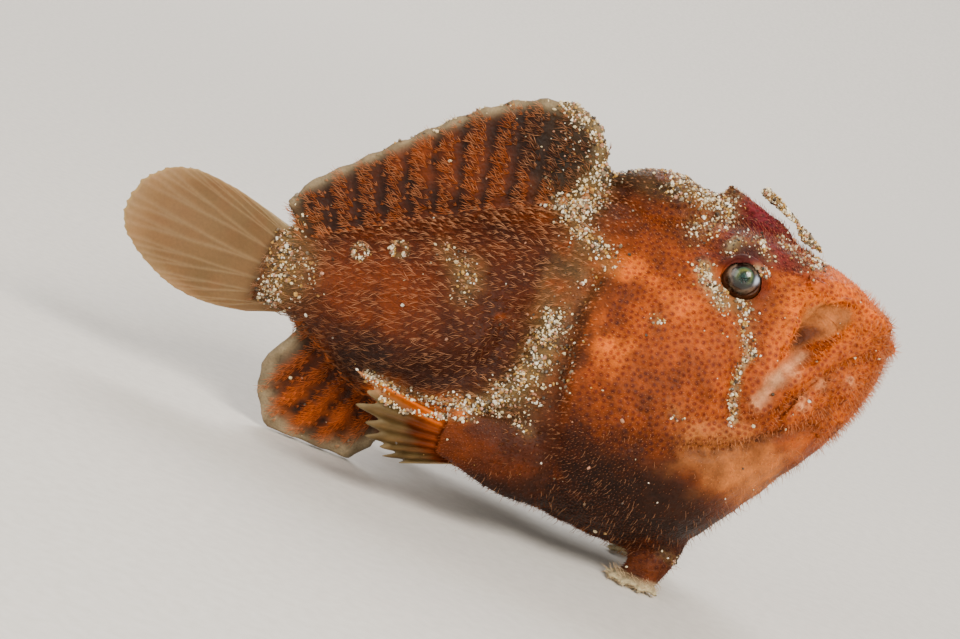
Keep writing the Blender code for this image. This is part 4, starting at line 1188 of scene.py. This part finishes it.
def lie(points):
    """The way the coat lies: back along the body, and up and back on the dorsal fin."""
    _, on_fin = fin_rows(points)
    up = np.where(points[:, 2] > 14, 0.55, -0.5) * on_fin
    sway = 0.22 * noise(points, 2.2, 21)
    return np.stack([-np.ones(len(points)), 0.1 * noise(points, 1.3, 22), up - 0.36 + sway], axis=1)


def part_of_coat(points):
    """The name of the part of the coat that each point lies in."""
    _, on_fin = fin_rows(points)
    arm = (np.abs(points[:, 1]) > 9.6) & (points[:, 2] < 11.5) & (points[:, 0] < -16)
    leg = (points[:, 2] < 2.6) & (points[:, 0] > -7)
    return np.select([on_fin > 0.3, arm | leg, faceness(points) > 0.5], ["fin", "hand", "head"], "flank")


def prickles(roots, outward, way, length, width, bow):
    """Curved three-sided prickles: their points, triangles and each point's share of the way to the tip."""
    side, half_length = np.cross(outward, way), 0.5 * length[:, None]
    middle = roots + half_length * (math.cos(LOWER_BOW * bow) * outward + math.sin(LOWER_BOW * bow) * way)
    tip = middle + half_length * (math.cos(UPPER_BOW * bow) * outward + math.sin(UPPER_BOW * bow) * way)
    over = math.cos(bow) * way - math.sin(bow) * outward
    rings = []
    for centre, across, size in ((roots - 0.06 * outward, way, 1.0), (middle, over, 0.72)):
        for turn in (0, math.tau / 3, 2 * math.tau / 3):
            rings.append(centre + size * width * (math.cos(turn) * side + math.sin(turn) * across))
    points = np.stack(rings + [tip], axis=1).reshape(-1, 3)
    points[:, 2] = np.maximum(points[:, 2], FLOOR)
    return points, copies(PRICKLE_FACES, PRICKLE_POINTS, len(roots)), np.tile(PRICKLE_FAR, len(roots))


def prickle_patch(far):
    """Where the points of prickles lie in their small patches of the unwrap."""
    corner = np.tile([-0.5, 0.0, 0.5, -0.5, 0.0, 0.5, 0.0], len(far) // PRICKLE_POINTS)
    return np.stack([corner, far - 0.5], axis=1)


def patch_map(mesh, places, corners):
    """Gives each tuft a small patch at its root's place on the unwrap."""
    unwrap = np.repeat(places, len(corners) // len(places), axis=0) + PATCH * corners
    vertex = np.empty(len(mesh.loops), np.int32)
    mesh.loops.foreach_get("vertex_index", vertex)
    layer = mesh.uv_layers.new(name="OFBake")
    layer.data.foreach_set("uv", unwrap[vertex].astype(np.float32).ravel())


def add_pores(name, samples):
    """Small dark pores, each a low cone that fades into the pale skin at its rim."""
    roots, outward, places = samples
    across = tangents(outward, lie(roots))
    up = np.cross(outward, across)
    turns = math.tau / 6 * np.arange(6)
    rings = [roots + PORE_TOP * outward]
    for reach, rise, _ in PORE_RINGS:
        for turn in turns:
            aside = math.cos(turn) * across + math.sin(turn) * up
            rings.append(roots + PORE_REACH * reach * aside + rise * outward)
    faces = [(0, 1 + i, 1 + (i + 1) % 6) for i in range(6)]
    for i in range(6):
        after = 1 + (i + 1) % 6
        faces += [(1 + i, 7 + i, 6 + after), (1 + i, 6 + after, after)]
    points = np.stack(rings, axis=1).reshape(-1, 3)
    mesh = mesh_of(name, points, copies(faces, len(rings), len(roots)))
    colours = np.repeat(markings_and_painted_shade(roots), len(rings), axis=0)
    dark = np.tile([1.0] + [dark for _, _, dark in PORE_RINGS for _ in turns], len(roots))[:, None]
    colour_points(mesh, "marking", colours * (1 - dark) + colours * PORE_TINT * dark)
    colour_points(mesh, "dotted", np.ones(len(colours)))
    rim = 0.5 * np.stack([np.cos(turns), np.sin(turns)], axis=1)
    spread = np.concatenate([[(0.0, 0.0)], *(reach * rim for reach, _, _ in PORE_RINGS)])
    patch_map(mesh, places, np.tile(spread, (len(roots), 1)))
    place(name, mesh, bpy.data.objects["frogfish_skin"].data.materials[0])


def coat_colours(roots, kind, far, random):
    """The colours of the prickles' points, from the skin's own colour at the root to a paler tip."""
    base = np.repeat(markings_and_painted_shade(roots), PRICKLE_POINTS, axis=0)
    each = 2.2 * COATS[kind].pale * random.random(len(roots)) ** 1.5
    each = (each + 0.4 * sandiness(roots) * (kind == "flank")) * np.clip((roots[:, 2] - 5) / 9, 0.05, 1)
    each = np.repeat(np.clip(each, 0, 1), PRICKLE_POINTS)
    hue, share = {"fin": ("vivid", 0.8), "head": ("vivid", 0.3)}.get(kind, ("rust", 0.3))
    warm = blended(base * 1.6, hue, share * far)
    if kind == "fin":
        dark = from_patch(in_side_view(roots), *DARK_BRISTLES) < 1
        warm = np.where(np.repeat(dark, PRICKLE_POINTS)[:, None], 0.35 * warm, warm)
    return blended(warm, "cream" if kind == "rod" else "tip", each * far ** 0.8)


def coat_piece(name, kind, samples, material, random):
    """One part of the coat on one side."""
    roots, outward, places = samples
    coat = COATS[kind]
    length = coat_length(roots, kind) * random.uniform(0.65, 1.3, len(roots))
    way = tangents(outward, lie(roots) + 0.18 * random.normal(size=(len(roots), 3)))
    tufts = []
    for fork in range(coat.forks):
        splay = (fork - 0.5 * (coat.forks - 1)) * FORK_SPLAY
        fork_way = way * math.cos(splay) + np.cross(outward, way) * math.sin(splay)
        tufts.append(prickles(roots, outward, fork_way, length, coat.width, coat.bow))
    points, _, far = (np.concatenate(values) for values in zip(*tufts))
    mesh = mesh_of(name, points, copies(PRICKLE_FACES, PRICKLE_POINTS, len(roots) * coat.forks))
    colour_points(mesh, "marking", coat_colours(np.tile(roots, (coat.forks, 1)), kind, far, random))
    patch_map(mesh, np.tile(places, (coat.forks, 1)), prickle_patch(far))
    place(name, mesh, material)


def coat_length(roots, kind):
    """How long a prickle is, by its place."""
    flank, face = settings().flank_prickle / MM, settings().face_prickle / MM
    if kind in ("head", "hand", "rod"):
        return (1 + 1.1 * near_line(in_side_view(roots), HORN_CREST, 2.0) * (kind == "head")) * face
    if kind == "fin":
        return (0.5 + 0.6 * fin_rows(roots)[0]) * flank
    near_head = np.clip(smooth_step((roots[:, 0] + 15.0) / 1.2) + 0.6 * (roots[:, 2] < 7), 0, 1)
    long = flank if kind == "flank" else 1.1 * face
    return long * (1 - near_head) + 1.2 * face * near_head


def wanted(roots, kind, random):
    """Which of the possible roots carry a prickle."""
    keep = random.random(len(roots)) > bareness(roots) + 0.5 * sandiness(roots) * (kind != "rod")
    if kind == "fin":
        crest, _ = fin_rows(roots)
        keep &= random.random(len(roots)) < (0.2 + 0.8 * crest) * (1 - fin_margin(roots))
    return keep


def add_fringe(samples, material, random):
    """Long fine hairs on the chin, snout, throat and belly."""
    roots, outward, _ = samples
    chin = within(from_patch(in_side_view(roots), *HAIRY_CHIN), 0.9)
    under = np.clip(-outward[:, 2] * 2.5, 0, 1) * (roots[:, 0] > -20) * (0.15 + 0.5 * (roots[:, 0] > 2))
    snout = np.clip((roots[:, 0] - 8) / 3, 0, 1)
    toes = (roots[:, 2] < 1.3) * (roots[:, 0] > -6)
    share = np.maximum(np.maximum(0.8 * chin, under), np.maximum(snout, toes)) * (1 - bareness(roots))
    roots, outward, places = picked(samples, random.random(len(roots)) < share)
    length = FRINGE_LENGTH * random.uniform(0.5, 1.3, len(roots))
    way = tangents(outward, lie(roots) + 0.8 * random.normal(size=(len(roots), 3)))
    points, triangles, far = prickles(roots, outward, way, length, FRINGE_WIDTH, FRINGE_BOW)
    mesh = mesh_of("coat_fringe", points, triangles)
    base = np.repeat(markings_and_painted_shade(roots), PRICKLE_POINTS, axis=0) * 1.4
    on_toes = np.repeat(roots[:, 2] < 1.3, PRICKLE_POINTS)
    colours = blended(blended(base, "tip", 0.2 + 0.5 * far), "cream", 0.7 * far * on_toes)
    colour_points(mesh, "marking", colours)
    patch_map(mesh, places, prickle_patch(far))
    place("coat_fringe", mesh, material)


def prickle_material():
    """A prickle's thin skin, a little glossy."""
    material, tree, shader, _ = new_material("prickle_skin")
    marking = add(tree, "ShaderNodeAttribute", attribute_name="marking").outputs["Color"]
    feed(tree, shader, {"Base Color": marking, "Roughness": 0.42, "Specular IOR Level": 0.2})
    return material


def unwrap_skin(skin):
    """Unwraps the skin by its own shape."""
    skin.data.uv_layers.new(name="unwrap")
    bpy.context.view_layer.objects.active = skin
    skin.select_set(True)
    bpy.ops.object.mode_set(mode="EDIT")
    bpy.ops.mesh.select_all(action="SELECT")
    bpy.ops.uv.smart_project(angle_limit=math.radians(66), island_margin=0.0)
    bpy.ops.object.mode_set(mode="OBJECT")
    skin.select_set(False)


def add_prickles(kind, source, material, random):
    """A part of the coat on both sides: its roots are spaced out, then thinned where the skin is bare."""
    for side, name in SIDE_NAMES.items():
        samples = one_side(source, side)
        samples = picked(samples, spaced(samples[0], COATS[kind].space))
        samples = picked(samples, wanted(samples[0], kind, random))
        coat_piece(f"coat_{kind}_{name}", kind, samples, material, random)


def add_head_pores(source):
    """The pores of the head on both sides, where it isn't bare."""
    samples = picked(source, spaced(source[0], PORE_SPACE))
    samples = picked(samples, bareness(samples[0]) < 0.3)
    for side, name in SIDE_NAMES.items():
        add_pores(f"coat_pores_{name}", one_side(samples, side))


class FROGFISH_OT_coat(bpy.types.Operator):
    """Makes the prickles, pores and hairs on the skin, once there is a skin"""

    bl_idname = "frogfish.coat"
    bl_label = "Coat"

    def execute(self, context):
        random = np.random.default_rng(settings().seed)
        whole = skin_samples("frogfish_skin", SKIN_TRIES, random)
        rod = skin_samples("lure_rod", ROD_TRIES, random)
        parts, material = part_of_coat(whole[0]), prickle_material()
        for kind, coat in COATS.items():
            source = rod if coat.part == "rod" else picked(whole, parts == coat.part)
            add_prickles(kind, source, material, random)
            if kind == "head":
                add_head_pores(source)
        add_fringe(picked(whole, spaced(whole[0], FRINGE_SPACE)), material, random)
        return {"FINISHED"}


# A grain's colours and how common each is.
GRAINS = [("#dccaa2", 0.30), ("#f4ecd8", 0.14), ("#b98d45", 0.18), ("#7d6d56", 0.16), ("#3f3122", 0.12),
          ("#b07c5e", 0.10)]


def grain_mesh(name, places, outward, half, random):
    """Rough little stones half sunk in the skin."""
    ball = bmesh.new()
    bmesh.ops.create_icosphere(ball, subdivisions=1, radius=1)
    corners = np.array([vertex.co[:] for vertex in ball.verts])
    pattern = np.array([[vertex.index for vertex in face.verts] for face in ball.faces])
    ball.free()
    count = len(places)
    shape = corners[None] * random.uniform(0.65, 1.3, (count, len(corners), 1))
    shape *= random.uniform(0.6, 1.25, (count, 1, 3))
    axes = np.linalg.qr(random.normal(size=(count, 3, 3)))[0]
    shape = np.einsum("nij,nkj->nki", axes, shape) * half[:, None, None]
    points = places[:, None] + outward[:, None] * (0.45 * half)[:, None, None] + shape
    mesh = mesh_of(name, points.reshape(-1, 3), copies(pattern, len(corners), count))
    mesh.shade_flat()
    hues = np.array([linear(code) for code, _ in GRAINS])
    shares = np.array([share for _, share in GRAINS])
    chosen = hues[random.choice(len(hues), count, p=shares / shares.sum())]
    chosen = chosen * random.uniform(0.75, 1.1, (count, 1))
    colour_points(mesh, "marking", np.repeat(chosen, len(corners), axis=0))
    return mesh


def grain_material():
    """Sand and shell grit, dull and finely speckled."""
    material, tree, shader, _ = grained_material("shell_grit", 12.0, 2.0, 0.5, 0.7, 1.1)
    feed(tree, shader, {"Roughness": 0.4})
    return material


# The pieces that carry sand, and how many places are tried on each.
SANDED = [("frogfish_skin", 320000), ("lure_rod", 2600), ("hand_right", 16000), ("hand_left", 16000)]


class FROGFISH_OT_sand(bpy.types.Operator):
    """Scatters sand grains over the skin, once there is a skin"""

    bl_idname = "frogfish.sand"
    bl_label = "Sand"

    def execute(self, context):
        random = np.random.default_rng(settings().seed + 1)
        meshes = [(bpy.data.objects[name].data, count) for name, count in SANDED]
        found = [on_surface(mesh, *surface_places(mesh, count, random)[1:]) for mesh, count in meshes]
        places, outward = (np.concatenate(values) for values in zip(*found))
        share = sandiness(places) * np.clip(0.75 + 0.8 * noise(places, 1.0, 31), 0, 1)
        keep = random.random(len(places)) < 0.62 * np.maximum(share, 0.002)
        places, outward = places[keep], outward[keep]
        half = settings().grain / MM * np.clip(random.lognormal(0, 0.45, len(places)), 0.5, 2.2)
        material = grain_material()
        for side, name in SIDE_NAMES.items():
            mine = one_side((places, outward, half), side)
            place(f"sand_{name}", grain_mesh(f"sand_{name}", *mine, random), material)
        return {"FINISHED"}


# The camera's lens in millimetres, the soft square lamps and what they are aimed at, and the light all round.
# A lamp has a name, a place and a size in metres, a power in watts and a colour.
CAMERA_LENS = 100.0
LAMPS = [("key", (0.22, -0.36, 0.34), 0.22, 4.6, (1.0, 0.93, 0.83)),
         ("fill", (-0.38, -0.25, 0.16), 0.35, 1.5, (1.0, 0.96, 0.9)),
         ("back", (-0.10, 0.72, 0.78), 0.64, 12.0, (1.0, 0.98, 0.95))]
LAMP_AIM = Vector((0, 0, 0.017))
STUDIO_COLOUR, STUDIO_STRENGTH = (1.0, 0.96, 0.9, 1), 0.35
# The floor in metres: it is flat out to a radius, curves up, and ends at a wall's top. Its sides and steps.
FLAT, CURVE, WALL_TOP = 0.6, 0.4, (1.0, 0.9)
FLOOR_SIDES, CURVE_STEPS = 96, 16


def add_camera():
    """The photograph's view."""
    camera = linked("camera", bpy.data.cameras.new("camera"))
    camera.data.lens = CAMERA_LENS
    camera.data.clip_start = 1 * MM
    roll = Matrix.Rotation(-VIEW_SLOPE, 4, "Y")
    upright = Matrix.Rotation(math.radians(90), 4, "X")
    turn = Matrix.Rotation(VIEW_AHEAD, 4, "Y") @ Matrix.Rotation(-VIEW_DOWN, 4, "X")
    aim = roll @ upright @ turn
    target = (Vector((VIEW_CENTRE[0], 0, VIEW_CENTRE[1])) + Vector(ZERO)) * MM
    camera.matrix_world = Matrix.Translation(target) @ aim @ Matrix.Translation((0, 0, VIEW_AWAY * MM))
    bpy.context.scene.camera = camera


def add_lamp(name, where, size, watts, colour):
    """A soft square lamp aimed at the fish."""
    lamp = linked(name, bpy.data.lights.new(name, "AREA"))
    lamp.data.size = size
    lamp.data.energy = watts
    lamp.data.color = colour
    lamp.location = where
    lamp.rotation_mode = "QUATERNION"
    lamp.rotation_quaternion = (LAMP_AIM - Vector(where)).to_track_quat("-Z", "Y")


def bowl_mesh():
    """A floor that curves up into a wall all round."""
    rises = np.linspace(0.1, math.pi / 2, CURVE_STEPS)
    profile = [(FLAT / 2, 0.0), (FLAT, 0.0)]
    profile += [(FLAT + CURVE * math.sin(a), CURVE - CURVE * math.cos(a)) for a in rises] + [WALL_TOP]
    turns = np.arange(FLOOR_SIDES) * math.tau / FLOOR_SIDES
    points = [(r * math.cos(a), r * math.sin(a), z) for r, z in profile for a in turns]
    faces = [tuple(range(FLOOR_SIDES))[::-1]]
    for low in range(0, (len(profile) - 1) * FLOOR_SIDES, FLOOR_SIDES):
        high = low + FLOOR_SIDES
        for i, after in zip(range(FLOOR_SIDES), [*range(1, FLOOR_SIDES), 0]):
            faces.append((low + i, low + after, high + after, high + i))
    mesh = bpy.data.meshes.new("floor")
    mesh.from_pydata(points, [], faces)
    mesh.shade_smooth()
    return mesh


def add_floor():
    """A pale floor and wall in one, so that no edge shows from any side."""
    floor = linked("floor", bowl_mesh())
    material, tree, shader, where = new_material("pale_floor")
    grain = add(tree, "ShaderNodeTexNoise", {"Vector": where, "Scale": 0.9 / MM, "Detail": 3.0})
    stops = [(0.3, (0.60, 0.575, 0.54)), (0.7, (0.66, 0.635, 0.60))]
    tone = add(tree, "ShaderNodeValToRGB", {"Fac": grain.outputs["Fac"]}, stops)
    feed(tree, shader, {"Base Color": tone.outputs["Color"], "Roughness": 0.85})
    floor.data.materials.append(material)


class FROGFISH_OT_stage(bpy.types.Operator):
    """Makes the floor, the lamps and the camera"""

    bl_idname = "frogfish.stage"
    bl_label = "Stage"

    def execute(self, context):
        add_floor()
        add_camera()
        for lamp in LAMPS:
            add_lamp(*lamp)
        world = bpy.data.worlds.new("studio")
        world.use_nodes = True
        background = world.node_tree.nodes["Background"]
        feed(world.node_tree, background, {"Color": STUDIO_COLOUR, "Strength": STUDIO_STRENGTH})
        context.scene.world = world
        return {"FINISHED"}


class FROGFISH_PT_panel(bpy.types.Panel):
    """The sizes and colours, and a button for each group of pieces"""

    bl_label = "Frogfish"
    bl_space_type = "VIEW_3D"
    bl_region_type = "UI"
    bl_category = "Frogfish"

    def draw(self, context):
        for name in FrogfishSettings.__annotations__:
            self.layout.prop(context.scene.frogfish, name)
        for operator in OPERATORS:
            self.layout.operator(operator.bl_idname)


OPERATORS = [FROGFISH_OT_skin, FROGFISH_OT_thin_fins, FROGFISH_OT_eyes, FROGFISH_OT_coat, FROGFISH_OT_sand,
             FROGFISH_OT_stage]
CLASSES = [FrogfishSettings, *OPERATORS, FROGFISH_PT_panel]


def register():
    for each in CLASSES:
        bpy.utils.register_class(each)
    bpy.types.Scene.frogfish = PointerProperty(type=FrogfishSettings)


def unregister():
    del bpy.types.Scene.frogfish
    for each in reversed(CLASSES):
        bpy.utils.unregister_class(each)


def main():
    register()
    for operator in OPERATORS:
        group, name = operator.bl_idname.split(".")
        getattr(getattr(bpy.ops, group), name)()


if __name__ == "__main__":
    main()
